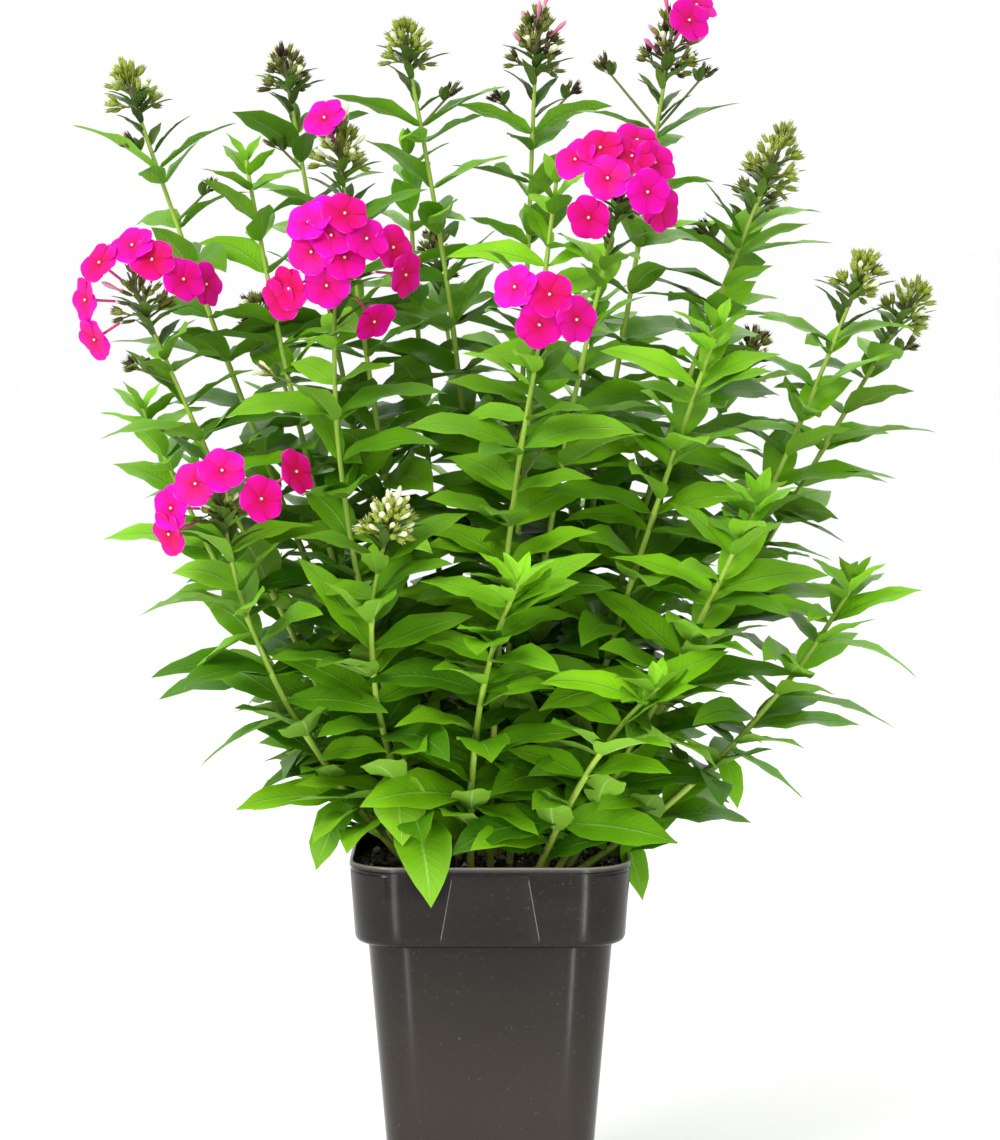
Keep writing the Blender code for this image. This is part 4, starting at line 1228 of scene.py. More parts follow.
class Growth(Graph):
    """Tubes along the seed's edges and one template shape at each of its loose points."""

    floats = tuple("thick along dark kind rise arch length width roll phase tint young sag ruffle".split())
    vectors = ("root", "arrow", "ahead", "beside")
    dressed = ("along", "across", "face", "part", "tint", "young", "dark")

    def __init__(self, shapes, finishes):
        inputs = {"Seed": "Geometry", "Fold": "Float", "Wave": "Float", "Thickness": "Float", "Sides": "Int"}
        super().__init__(bpy.data.node_groups.new("phlox_growth", "GeometryNodeTree"))
        self.given = self.sockets(inputs, "Plant")
        tubes = self.tubes()
        copies = [self.copies(kind, shape) for kind, shape in enumerate(shapes, 1)]
        joined = self.node("GeometryNodeJoinGeometry", {}, {0: [tubes] + copies})
        grown = self.node("GeometryNodeRealizeInstances", {}, {0: joined})
        finish = self.field("finish")
        blade = abs(finish - LEAF) < 0.5
        grown = self.node("GeometryNodeSetPosition", {}, {0: grown, 1: blade, 2: self.blade_place()})
        arrow = finish > 1.5
        grown = self.node("GeometryNodeSetPosition", {}, {0: grown, 1: arrow, 2: self.arrow_place()})
        grown = self.node("GeometryNodeSetShadeSmooth", {}, {0: grown, 2: True})
        for number, material in enumerate(finishes):
            chosen = abs(finish - float(number)) < 0.5
            grown = self.node("GeometryNodeSetMaterial", {}, {0: grown, 1: chosen, 2: material})
        self.node("NodeGroupOutput", {}, {0: grown})

    def field(self, name, kind="FLOAT"):
        return self.node("GeometryNodeInputNamedAttribute", {"data_type": kind}, {"Name": name})

    def tubes(self):
        """The seed's edges as tubes of the thickness that each point asks for."""
        curve = self.node("GeometryNodeMeshToCurve", {}, {0: self.given["Seed"]})
        circle_inputs = {"Resolution": self.given["Sides"], "Radius": 1.0}
        round_profile = self.node("GeometryNodeCurvePrimitiveCircle", {"mode": "RADIUS"}, circle_inputs)
        inputs = {"Curve": curve, "Profile Curve": round_profile, "Scale": self.field("thick")}
        inputs["Fill Caps"] = True
        return self.node("GeometryNodeCurveToMesh", {}, inputs)

    def copies(self, kind, shape):
        """A copy of the shape at every seed point of that kind."""
        geometry = self.node("GeometryNodeObjectInfo", {}, {"Object": shape}, "Geometry")
        chosen = abs(self.field("kind") - float(kind)) < 0.5
        inputs = {"Points": self.given["Seed"], "Selection": chosen, "Instance": geometry}
        return self.node("GeometryNodeInstanceOnPoints", {}, inputs)

    def blade_place(self):
        """Bends, rolls, folds and waves a blade's points by the leaf's own figures."""
        along, across, face = (self.field(name) for name in ("along", "across", "face"))
        rise, arch, length, width = (self.field(name) for name in ("rise", "arch", "length", "width"))
        phase = self.field("phase")
        ahead, side = self.field("ahead", "FLOAT_VECTOR"), self.field("beside", "FLOAT_VECTOR")
        slope = rise - arch * along
        out = (rise.call("SINE") - slope.call("SINE")) / arch
        lift = (slope.call("COSINE") - rise.call("COSINE")) / arch
        zenith = self.node("ShaderNodeCombineXYZ", {}, {"Z": 1.0})
        rib = self.field("root", "FLOAT_VECTOR")
        rib = rib + ahead.scaled(out * length) + zenith.scaled(lift * length)
        onward = ahead.scaled(slope.call("COSINE")) + zenith.scaled(slope.call("SINE"))
        level = onward.cross(side)
        roll = self.field("roll") + phase.call("SINE") * 0.22 * (along - 0.3)
        beside = side.scaled(roll.call("COSINE")) + level.scaled(roll.call("SINE"))
        above = level.scaled(roll.call("COSINE")) - side.scaled(roll.call("SINE"))
        half = width * (0.53 / WIDEST) * along**0.8 * (1.0 - along) ** 1.15
        half = half + 0.0009 * (1.0 - along) * (abs(across) > 0.0)
        reach = abs(across)
        fold = self.given["Fold"] * (1.1 - along * 0.7)
        rippled = (along * 13.0 + phase + across * 1.3).call("SINE")
        height = half * ((reach - 0.42) * fold.call("SINE") + rippled * reach * self.given["Wave"])
        height = height - half * reach * reach * 0.12 + face * self.given["Thickness"] * 0.5
        keel = (1.0 - reach * 2.0).clipped() * (face < -0.5)
        height = height - keel * (1.0 - along) * 0.0007
        lateral = across * half * fold.call("COSINE")
        lateral = lateral + length * 0.04 * along * along * (phase * 2.0).call("SINE")
        return rib + beside.scaled(lateral) + above.scaled(height)

    def arrow_place(self):
        """Stands a shape on its root along its own arrow, with its stalk a little sagged."""
        place = self.node("GeometryNodeInputPosition", {}, {})
        root, arrow = self.field("root", "FLOAT_VECTOR"), self.field("arrow", "FLOAT_VECTOR")
        offset = self.node("ShaderNodeSeparateXYZ", {}, {0: place - root})
        x, y, z = offset, offset.other("Y"), offset.other("Z")
        zenith = self.node("ShaderNodeCombineXYZ", {}, {"X": 0.05, "Z": 1.0})
        first = zenith.cross(arrow).unit()
        second = arrow.unit().cross(first)
        spin, thick = self.field("phase"), self.field("thick")
        turned_x = (x * spin.call("COSINE") - y * spin.call("SINE")) * thick
        turned_y = (x * spin.call("SINE") + y * spin.call("COSINE")) * thick
        sag = z * (1.0 - z) * self.field("sag")
        ruffle = self.node("ShaderNodeTexNoise", {}, {"Vector": place, "Scale": 130.0, "Detail": 1.0})
        lift = (ruffle - 0.5) * self.field("ruffle") * self.field("along")
        along = arrow.scaled(z + lift)
        settled = self.node("ShaderNodeCombineXYZ", {}, {"Z": -1.0}).scaled(sag)
        return root + along + first.scaled(turned_x) + second.scaled(turned_y) + settled

    def grow(self, name, lines, points, settings, slot, replaced):
        """The finished piece that grows from the seed of lines and points."""
        spots, edges, rows = [], [], []
        for line in lines:
            edges += [(len(spots) + step, len(spots) + step + 1) for step in range(len(line) - 1)]
            for point, thick, along, dark in line:
                spots.append(point)
                rows.append({"thick": thick, "along": along, "dark": dark})
        for row in points:
            spots.append(row["root"])
            rows.append(row)
        data = bpy.data.meshes.new(name + "_seed")
        data.from_pydata(spots, edges, [])
        for field in self.floats:
            values = [row.get(field, 0.0) for row in rows]
            data.attributes.new(field, "FLOAT", "POINT").data.foreach_set("value", values)
        for field in self.vectors:
            values = [number for row in rows for number in row.get(field, (0.0, 0.0, 0.0))]
            data.attributes.new(field, "FLOAT_VECTOR", "POINT").data.foreach_set("vector", values)
        given = {"Fold": settings.fold, "Wave": settings.wave, "Thickness": settings.thickness}
        given["Sides"] = TUBE_SIDES
        made = applied(linked(bpy.data.objects.new(name, data)), self.tree, given)
        attributes = made.data.attributes
        spare = {*self.floats, *self.vectors, "finish"} - set(self.dressed)
        for field in sorted(spare & {attribute.name for attribute in attributes}):
            attributes.remove(attributes[field])
        return settle(made, replaced)


def applied(obj, tree, given):
    """The plain mesh object that a tree of Geometry Nodes makes of obj with the inputs given."""
    modifier = obj.modifiers.new("nodes", "NODES")
    modifier.node_group = tree
    for item in tree.interface.items_tree:
        if item.name in given:
            modifier[item.identifier] = given[item.name]
    return plain_copy(obj)


def plain_copy(obj):
    """The evaluated object as a plain mesh object of its name, without its modifiers."""
    bpy.context.view_layer.update()
    graph = bpy.context.evaluated_depsgraph_get()
    data = bpy.data.meshes.new_from_object(obj.evaluated_get(graph))
    name = obj.name
    bpy.data.objects.remove(obj)
    data.name = name
    return linked(bpy.data.objects.new(name, data))


def settle(piece, replaced):
    """Keeps a piece within the solids' box, gives it its body and hides the solids that it replaces."""
    for spot in piece.data.vertices:
        for i in range(3):
            spot.co[i] = min(max(spot.co[i], LOW[i]), HIGH[i])
    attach(piece, "root")
    if replaced:
        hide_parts(*replaced)
    return piece


class Kit:
    """The growth tree and its templates, made once for all the operators."""

    made = None

    @classmethod
    def get(cls):
        if cls.made is None:
            shapes = [leaf_template(), calyx_template(), closed_bud_template()]
            shapes += [corolla_template(), tube_template()]
            settings = bpy.context.scene.phlox
            finishes = [stem_finish(), leaf_finish(settings.leaves)]
            finishes += [bud_finish(settings.buds), petal_finish(settings.florets)]
            cls.made = Growth(shapes, finishes)
            cls.made.shapes = shapes
        return cls.made


def leaf_row(leaf, draw, young=0.0, dark=0.0):
    """A leaf's figures as a seed point."""
    heading = heading_of(leaf.azimuth)
    return {
        **leaf._asdict(),
        "kind": BLADE,
        "ahead": heading,
        "beside": Vector((-heading.y, heading.x, 0)),
        "phase": draw.uniform(0, math.tau),
        "tint": draw.uniform(0.62, 1.26),
        "young": min(1.0, max(0.0, young)),
        "dark": dark,
    }


def arrow_row(kind, root, arrow, draw, thick, sag=0.0, tint=0.0, ruffle=0.0):
    """A bud's or a floret's figures as a seed point."""
    row = {"kind": kind, "root": root, "arrow": arrow, "thick": thick, "sag": sag, "tint": tint}
    return {**row, "phase": draw.uniform(0, math.tau), "ruffle": ruffle}


# The parts that a drawn stem is cut into, the sides of its tube, and how far from a pair of leaves
# its swelling reaches, as a share of its height.
LINE_STEPS = 36
TUBE_SIDES = 7
JOINT_REACH = 0.015


def stem_line(stem):
    """The stem's centre line, thicker at each pair of leaves, from under the soil to its tip."""
    lowest, highest = leafy_span(stem)
    joints = [lowest + (highest - lowest) * pair / (stem.pairs - 1) for pair in range(stem.pairs)]
    foot = stem_point(stem, 0) - stem_direction(stem, 0) * ROOTED
    line = [(foot, stem_radius(0), 0.0, 0.0)]
    for step in range(LINE_STEPS + 1):
        share = step / LINE_STEPS
        swelling = max(0.0, 1 - min(abs(share - joint) for joint in joints) / JOINT_REACH)
        dark = 0.25 * max(0.0, (share - 0.9) / 0.1) if stem.name in HEADS else 0.0
        radius = stem_radius(share) * (0.86 + 0.30 * swelling)
        line.append((path_point(stem, share), radius, share, dark))
    return line


def path_point(stem, share):
    """The stem's smooth bend, drawn a third of the way towards the solid's straight sections."""
    return bend_point(stem, share).lerp(stem_point(stem, share), 0.35)


def nearest_share(stem, root):
    shares = [step / 60 for step in range(61)]
    return min(shares, key=lambda share: (stem_point(stem, share) - root).length)


def leafy_rows(stem, plan):
    """The seed points of every leaf and bract of a stem."""
    draw = random.Random(stem.name + "_rows")
    rows = []
    tender = 0.75 if stem.crown == "rosette" else 0.35
    for leaf in plan.leaves[stem.name] + plan.filling[stem.name]:
        share = nearest_share(stem, leaf.root)
        moved = leaf._replace(root=leaf.root + path_point(stem, share) - stem_point(stem, share))
        young = tender * max(0.0, share - 0.35) / 0.6 + draw.uniform(-0.12, 0.22)
        rows.append(leaf_row(moved, draw, young))
    if stem.name in HEADS:
        for leaf in bracts(stem):
            rows.append(leaf_row(leaf, draw, 0.0, draw.uniform(0.35, 0.85)))
    return rows


def spray_rows(stem):
    """Branches and buds of the stem's side sprays."""
    draw = random.Random(stem.name + "_sprays")
    lines, rows = [], []
    for name, share, turn, reach, rise in SPRAYS:
        if name != stem.name:
            continue
        root = path_point(stem, share)
        tip = root + heading_of(math.radians(turn)) * reach * MM + Vector((0, 0, rise * MM))
        along = (tip - root).normalized()
        lines.append([(root, 1.0 * MM, 0.9, 0.7), (tip + along * 2 * MM, 0.7 * MM, 1.0, 0.8)])
        for number in range(7):
            around = square_to(along, math.radians(360 / 7) * number + 0.4)
            start = tip - along * (1 + number % 3) * 2 * MM
            end = tip + along * draw.uniform(6, 11) * MM + around * draw.uniform(3, 7) * MM
            pale = name == "left_cluster" and number % 2 == 0
            tint = 0.8 if pale else draw.uniform(0, 0.5)
            rows.append(arrow_row(CLOSED if pale else CALYX, start, end - start, draw, 1.4 * MM, 0.0, tint))
        for number in (0, 1):
            azimuth = math.radians(turn + 90 + 180 * number)
            leaf = Leaf(tip - along * 5 * MM, azimuth, 0.9, 0.6, 17 * MM, 4.5 * MM, 0.0)
            rows.append(leaf_row(leaf, draw, 0.0, 0.6))
    return lines, rows


GREENER = {"right_green", "right_outer", "right_edge", "front_left", "left_tall", "middle_left"}

# Closed pink or cream buds that show in a head: how many, and how cream they are.
SHOWING = {
    "left_single": (9, 0.9),
    "left_cluster": (4, 0.3),
    "middle_tall": (6, 0.15),
    "right_tall": (8, 0.1),
    "right_cluster": (4, 0.1),
    "front_left": (14, 0.8),
    "left_loose": (8, 0.7),
    "left_outer": (3, 0.2),
}


def head_rows(stem, fullness):
    """The stalk, calyxes and closed buds of a head."""
    head = HEADS[stem.name]
    draw = random.Random(stem.name + "_buds")
    florets = head_florets(stem)
    foot, axis, buds = head_buds(stem, florets)
    height = head.height * MM
    top = foot + axis * height * 0.8
    line = [(foot - axis * 3 * MM, TIP_RADIUS, 0.9, 0.8), (foot + axis * height * 0.5, 1.3 * MM, 1.0, 0.9)]
    line.append((top, 0.5 * MM, 1.0, 0.9))
    rows = []
    for root, tip in buds[: len(florets)]:
        arrow = (tip - root) * 1.04
        rows.append(arrow_row(CALYX, root, arrow, draw, 1.45 * MM, 2 * MM, draw.uniform(0.1, 0.5)))
    shown, cream = SHOWING.get(stem.name, (0, 0))
    for number in range(shown):
        share = (number + 0.5) / shown
        lean = math.radians(76 - 60 * share + draw.uniform(-8, 8))
        around = square_to(axis, GOLDEN_ANGLE * number + 0.7)
        root = foot + axis * height * (0.16 + 0.50 * share)
        reach = head.radius * MM * draw.uniform(1.15, 1.35)
        arrow = around * (reach * math.sin(lean)) + axis * (reach * math.cos(lean) + 2 * MM)
        if clear_of_tubes(root + arrow, root, florets):
            tint = cream * draw.uniform(0.7, 1.1)
            rows.append(arrow_row(CLOSED, root, arrow, draw, 1.6 * MM, 1 * MM, tint))
    clusters = round(head.buds * fullness / 5)
    green = 0.55 if stem.name in GREENER else 0.0
    lines = [line]
    for number in range(clusters):
        share = (number + 0.5) / clusters
        lean = math.radians(86 - 72 * share + draw.uniform(-8, 8))
        around = square_to(axis, GOLDEN_ANGLE * number + draw.uniform(-0.3, 0.3))
        root = foot + axis * (height * (0.06 + 0.50 * share))
        reach = head.radius * MM * (1.40 - 0.44 * share)
        out = around * math.sin(lean) + axis * math.cos(lean)
        fork = root + out * reach * 0.42
        lines.append([(root, 0.9 * MM, 1.0, 0.7), (fork, 0.6 * MM, 1.0, 0.8)])
        for twig in range(6):
            spread = square_to(out, math.tau / 5 * twig + number)
            spread = spread * (0.0 if twig == 5 else draw.uniform(0.42, 0.85))
            arrow = (out + spread + axis * 0.30).normalized() * draw.uniform(11.5, 15.5) * MM
            start = fork - out * draw.uniform(1, 3) * MM
            if clear_of_tubes(start + arrow, start, florets):
                pale = twig == 5 and number % 2 == 0
                tint = 0.7 if pale else cream * 0.5 + green + draw.uniform(0.0, 0.6)
                thick = draw.uniform(1.7, 2.4) * MM
                rows.append(arrow_row(CLOSED if pale else CALYX, start, arrow, draw, thick, 0.0, tint))
    for number in range(7):
        root = foot + axis * (height * (0.02 + 0.05 * number))
        azimuth = GOLDEN_ANGLE * number + draw.uniform(-0.3, 0.3)
        length = (31 - 2 * number) * MM * draw.uniform(0.8, 1.1)
        leaf = Leaf(root, azimuth, math.radians(42), math.radians(38), length, 0.26 * length, 0.0)
        rows.append(leaf_row(leaf, draw, 0.1, draw.uniform(0.25, 0.75)))
    return lines, rows


def floret_rows(stem):
    draw = random.Random(stem.name + "_florets")
    rows = []
    for centre, facing in head_florets(stem):
        tilt = Vector((draw.uniform(-0.15, 0.15), draw.uniform(-0.75, -0.45), draw.uniform(-0.12, 0.12)))
        arrow = (facing + tilt).normalized()
        tint = draw.uniform(0.0, 1.0)
        rows.append(arrow_row(COROLLA, centre, arrow, draw, 1.0, 0.0, tint, 2.2 * MM))
        start = centre - facing * (TUBE_LENGTH + GAP)
        rows.append(arrow_row(TUBE, start, centre - arrow * 0.8 * MM - start, draw, 1.05 * MM, 0.0, tint))
    return rows


# The pot and its soil.


def rounded_square(width, corner, z, steps):
    """The outline of a square of that width with rounded corners, at height z."""
    points = []
    inset = width / 2 - corner
    for quarter in range(4):
        for step in range(steps + 1):
            angle = math.radians(90) * (quarter + step / steps)
            x = (inset if quarter in (0, 3) else -inset) + corner * math.cos(angle)
            y = (inset if quarter in (0, 1) else -inset) + corner * math.sin(angle)
            points.append(Vector((x, y, z)))
    return points


def shell(name, rings, finish, painted_highlights=None):
    """A closed smooth mesh object through rings; creases sharper than CREASE stay sharp.

    The last argument gives, by their number, how strongly some rings carry a painted highlight."""
    painted_highlights = painted_highlights or {}
    points, faces, fields = turned(rings, [painted_highlights.get(number, 0.0) for number in range(len(rings))], 0.0)
    mesh = body_mesh(points, faces)
    for face in mesh.faces:
        face.smooth = True
    for edge in mesh.edges:
        edge.smooth = len(edge.link_faces) == 2 and edge.calc_face_angle() < CREASE
    made = linked(mesh_object(name, mesh, {"scuff": fields["along"]} if painted_highlights else {}))
    made.data.materials.append(finish)
    return made


def collar_width(z):
    """The collar's outer width at height z."""
    slope = (RIM_WIDTH - COLLAR_FOOT_WIDTH) / COLLAR_HEIGHT
    return COLLAR_FOOT_WIDTH + slope * (z - COLLAR_FOOT)


def pot_shell(settings, finish):
    """The pot: tapered walls, a rounded collar with a thick lip, and drain holes in its floor."""
    step, lip = COLLAR_FOOT, POT_HEIGHT - settings.lip
    outer = [
        (BASE_WIDTH - 3 * MM, BASE_CORNER, 0),
        (BASE_WIDTH - 1 * MM, BASE_CORNER, 0.3 * MM),
        (BASE_WIDTH, BASE_CORNER, 1.5 * MM),
    ]
    for share in (0.2, 0.4, 0.6, 0.8, 0.97):
        z = step * share
        outer.append((pot_width(z), BASE_CORNER + 6 * MM * share, z))
    outer += [
        (WALL_TOP_WIDTH + 0.4 * MM, BASE_CORNER + 6 * MM, step - 1 * MM),
        (WALL_TOP_WIDTH + 3 * MM, RIM_CORNER - 5 * MM, step + 0.2 * MM),
        (COLLAR_FOOT_WIDTH - 4 * MM, RIM_CORNER - 3 * MM, step + 0.4 * MM),
        (COLLAR_FOOT_WIDTH - 1.2 * MM, RIM_CORNER - 2 * MM, step + 1.5 * MM),
        (collar_width(step + 4 * MM), RIM_CORNER - 2 * MM, step + 4 * MM),
        (collar_width(step + 20 * MM), RIM_CORNER - 1 * MM, step + 20 * MM),
        (collar_width(lip - 2 * MM), RIM_CORNER, lip - 2 * MM),
        (collar_width(lip - 2 * MM) - 0.8 * MM, RIM_CORNER, lip - 1.2 * MM),
        (collar_width(lip - 2 * MM) - 0.7 * MM, RIM_CORNER, lip),
        (RIM_WIDTH, RIM_CORNER, lip + 1 * MM),
        (RIM_WIDTH, RIM_CORNER, POT_HEIGHT - 1.2 * MM),
        (RIM_WIDTH - 0.5 * MM, RIM_CORNER, POT_HEIGHT - 0.4 * MM),
        (RIM_WIDTH - 1.4 * MM, RIM_CORNER, POT_HEIGHT),
    ]
    inner = [
        (RIM_WIDTH - 2 * WALL - 0.6 * MM, RIM_CORNER - WALL, POT_HEIGHT),
        (RIM_WIDTH - 2 * WALL - 1.4 * MM, RIM_CORNER - WALL, POT_HEIGHT - 0.6 * MM),
        (collar_width(lip) - 2 * WALL, RIM_CORNER - WALL, lip),
        (COLLAR_FOOT_WIDTH - 2 * WALL, RIM_CORNER - WALL - 2 * MM, step + 5 * MM),
        (WALL_TOP_WIDTH - 2 * WALL, BASE_CORNER + 6 * MM - WALL, step + 2 * MM),
        (pot_width(FLOOR_THICKNESS) - 2 * WALL, BASE_CORNER - WALL, FLOOR_THICKNESS),
    ]
    # A painted highlight along the top edge of the lip: how strongly each ring there is painted light.
    highlit_rings = {len(outer) - 3: 0.25, len(outer) - 2: 0.8, len(outer) - 1: 0.9, len(outer): 0.3}
    rings = [rounded_square(*ring, settings.corner_steps) for ring in outer + inner]
    body = shell("pot_shell", rings, finish, highlit_rings)
    reach = BASE_WIDTH / 2 - BASE_CORNER
    ends = [circle(DRAIN_RADIUS, z, 24) for z in (-5 * MM, 9 * MM)]
    for x, y in product((-reach, reach), (-reach, reach)):
        rings = [[Vector(point) + Vector((x, y, 0)) for point in ring] for ring in ends]
        body = cut(body, shell("drain", rings, finish))
    return body


def cut(body, cutter):
    """The body with the cutter taken out of it in an applied Boolean."""
    boolean = body.modifiers.new("cut", "BOOLEAN")
    boolean.operation = "DIFFERENCE"
    boolean.object = cutter
    boolean.solver = "EXACT"
    made = plain_copy(body)
    bpy.data.objects.remove(cutter)
    return made


def collar_point(x, z, relief):
    """A point that stands off the collar's front face by relief."""
    return Vector((x, -collar_width(z) / 2 - relief, z))


def label_panel(finish):
    """The low trapezium on the collar, and the fine rib along each of its slanting sides."""
    low, high = COLLAR_FOOT + 4 * MM, POT_HEIGHT - 6 * MM
    rings = []
    for grow, relief in ((1.0, -WALL * 0.6), (1.0, 0.02 * MM), (0.0, 0.30 * MM)):
        foot, top = PANEL_FOOT / 2 - 1 * MM + grow * MM, PANEL_TOP / 2 - 1 * MM + grow * MM
        corners = ((-foot, low, -1), (foot, low, -1), (top, high, 1), (-top, high, 1))
        rings.append([collar_point(x, z + edge * grow * MM, relief) for x, z, edge in corners])
    pieces = [shell("label_panel", rings, finish)]
    for side, sign in (("left", -1), ("right", 1)):
        rings = []
        for share in (0.0, 0.06, 0.5, 0.94, 1.0):
            z = low + (high - low) * share
            middle = sign * (PANEL_FOOT + (PANEL_TOP - PANEL_FOOT) * share) / 2
            half = 0.45 * MM if 0 < share < 1 else 0.15 * MM
            relief = PANEL_RELIEF * (1.0 if 0 < share < 1 else 0.3)
            corners = ((-half, -0.5 * MM), (half, -0.5 * MM), (0.5 * half, relief), (-0.5 * half, relief))
            rings.append([collar_point(middle + x, z, stand) for x, stand in corners])
        # The rib's middle rings carry a painted highlight.
        pieces.append(shell(f"label_rib_{side}", rings, finish, dict.fromkeys(range(1, 4), 0.5)))
    return pieces


def soil_bed(finish):
    """The potting mix: it fills the pot, and its crowned top is uneven."""
    low = FLOOR_THICKNESS + GAP
    top_width = collar_width(SOIL_LEVEL) - 2 * WALL - 3 * GAP
    sections = (
        (pot_width(low) - 2 * WALL - 2 * GAP, BASE_CORNER - WALL, low),
        (WALL_TOP_WIDTH - 2 * WALL - 2 * GAP, BASE_CORNER + 5 * MM - WALL, COLLAR_FOOT + 2.5 * MM),
        (COLLAR_FOOT_WIDTH - 2 * WALL - 3 * GAP, RIM_CORNER - WALL - 2 * MM, COLLAR_FOOT + 6 * MM),
        (top_width, RIM_CORNER - WALL - 1 * MM, SOIL_LEVEL - 2 * MM),
    )
    rings = [rounded_square(*section, 8) for section in sections]
    outline = rounded_square(top_width - 3 * MM, RIM_CORNER - WALL - 2 * MM, 0, 8)
    for number in range(SOIL_RINGS):
        shrink = 1 - (number / SOIL_RINGS) ** 1.1
        ring = []
        for point in outline:
            x, y = point.x * shrink, point.y * shrink
            bump = noise.noise(Vector((x, y, 0)) * 70) * 2.4 * MM
            bump += noise.noise(Vector((x, y, 3)) * 220) * 1.1 * MM
            ring.append(Vector((x, y, soil_height(x, y) - 1.2 * MM + bump)))
        rings.append(ring)
    rings.append([Vector((0, 0, SOIL_LEVEL + SOIL_CROWN - 1 * MM))])
    return shell("soil_bed", rings, finish)


def crumb_template():
    """A rough many-sided crumb."""
    draw = random.Random("crumb")
    mesh = bmesh.new()
    bmesh.ops.create_icosphere(mesh, subdivisions=1, radius=1.0)
    for spot in mesh.verts:
        spot.co *= draw.uniform(0.7, 1.15)
    return mesh_object("crumb", mesh, {})


def crumb_tree(shape, finish):
    """Strews crumbs of mixed size, shape and grain over the upward faces of a bed."""
    graph = Graph(bpy.data.node_groups.new("soil_crumbs", "GeometryNodeTree"))
    inputs = {"Bed": "Geometry", "Density": "Float", "Size": "Float", "Seed": "Int"}
    given = graph.sockets(inputs, "Crumbs")

    def drawn(kind, seed, limits, out=0):
        return graph.node("FunctionNodeRandomValue", {"data_type": kind}, {**limits, "Seed": seed}, out)

    def height_of(kind):
        return graph.node("ShaderNodeSeparateXYZ", {}, {0: graph.node(kind, {}, {})}, "Z")

    upward = height_of("GeometryNodeInputNormal") > 0.5
    upward = upward * (height_of("GeometryNodeInputPosition") > SOIL_LEVEL - 6 * MM)
    inputs = {"Mesh": given["Bed"], "Selection": upward, "Density": given["Density"], "Seed": given["Seed"]}
    points = graph.node("GeometryNodeDistributePointsOnFaces", {}, inputs)
    turn = drawn("FLOAT_VECTOR", 2, {1: (6.3, 6.3, 6.3)})
    uneven = drawn("FLOAT_VECTOR", 3, {0: (0.35, 0.35, 0.35), 1: (1.7, 1.1, 0.8)})
    size = drawn("FLOAT", 4, {2: 0.3, 3: 1.0}, 1)
    inputs = {
        "Points": points,
        "Instance": graph.node("GeometryNodeObjectInfo", {}, {"Object": shape}, "Geometry"),
        "Rotation": graph.node("FunctionNodeEulerToRotation", {}, {0: turn}),
        "Scale": uneven.scaled((size**3.0 * 1.5 + 0.35) * given["Size"]),
    }
    crumbs = graph.node("GeometryNodeInstanceOnPoints", {}, inputs)
    settings = {"data_type": "FLOAT", "domain": "INSTANCE"}
    inputs = {"Geometry": crumbs, "Name": "grain", "Value": drawn("FLOAT", 5, {2: 0.0, 3: 1.0}, 1)}
    crumbs = graph.node("GeometryNodeStoreNamedAttribute", settings, inputs)
    crumbs = graph.node("GeometryNodeRealizeInstances", {}, {0: crumbs})
    crumbs = graph.node("GeometryNodeSetMaterial", {}, {0: crumbs, 2: finish})
    graph.node("NodeGroupOutput", {}, {0: crumbs})
    return graph.tree


# Operators.


class PHLOX_OT_pot(bpy.types.Operator):
    """Make the square pot and the label panel on its collar"""

    bl_idname = "phlox.pot"
    bl_label = "Pot"

    def execute(self, context):
        settings = context.scene.phlox.pot
        finish = plastic_finish(settings)
        settle(pot_shell(settings, finish), ["pot"])
        for piece in label_panel(finish):
            settle(piece, [])
        return {"FINISHED"}


class PHLOX_OT_soil(bpy.types.Operator):
    """Make the potting mix and the crumbs on it"""

    bl_idname = "phlox.soil"
    bl_label = "Soil"

    def execute(self, context):
        settings = context.scene.phlox.soil
        finish = soil_finish(settings)
        bed = soil_bed(finish)
        crumbs = linked(bpy.data.objects.new("soil_crumbs", bed.data.copy()))
        given = {"Density": settings.density, "Size": settings.crumb, "Seed": 7}
        crumbs = applied(crumbs, crumb_tree(crumb_template(), finish), given)
        if not crumbs.data.vertices:
            raise RuntimeError("the soil has no crumbs")
        settle(bed, ["soil"])
        settle(crumbs, [])
        return {"FINISHED"}


class PHLOX_OT_stems(bpy.types.Operator):
    """Make the stems with their leaves and side sprays"""

    bl_idname = "phlox.stems"
    bl_label = "Leafy stems"

    def execute(self, context):
        kit, plan = Kit.get(), Plan.get()
        settings = context.scene.phlox.leaves
        for stem in STEMS:
            lines, rows = spray_rows(stem)
            rows = leafy_rows(stem, plan) + rows
            lines = [stem_line(stem)] + lines
            kit.grow("leafy_" + stem.name, lines, rows, settings, "leaf_green", ["stem_" + stem.name])
        return {"FINISHED"}


class PHLOX_OT_heads(bpy.types.Operator):
    """Make the heads of dark calyxes and closed buds"""

    bl_idname = "phlox.heads"
    bl_label = "Bud heads"

    def execute(self, context):
        kit = Kit.get()
        settings = context.scene.phlox
        for stem in STEMS:
            if stem.name in HEADS:
                lines, rows = head_rows(stem, settings.buds.fullness)
                name = "buds_" + stem.name
                kit.grow(name, lines, rows, settings.leaves, "bud_green", ["head_" + stem.name])
        return {"FINISHED"}


class PHLOX_OT_florets(bpy.types.Operator):
    """Make the open magenta florets"""

    bl_idname = "phlox.florets"
    bl_label = "Florets"

    def execute(self, context):
        kit = Kit.get()
        settings = context.scene.phlox.leaves
        for stem in STEMS:
            rows = floret_rows(stem) if stem.name in HEADS else []
            if rows:
                replaced = [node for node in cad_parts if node.startswith(f"florets_{stem.name}_")]
                kit.grow("flowers_" + stem.name, [], rows, settings, "petal_magenta", replaced)
        return {"FINISHED"}


# The floor's half width; then how far off the camera is, what it sees of the plant's plane from top to
# bottom, how far it looks down, and the point (x, z) that it aims at.
FLOOR_REACH = 40
VIEW_DISTANCE = 2.4
VIEW_HEIGHT = 0.7068
VIEW_TILT = math.radians(5.6)
VIEW_MIDDLE = (0.006, 0.407)


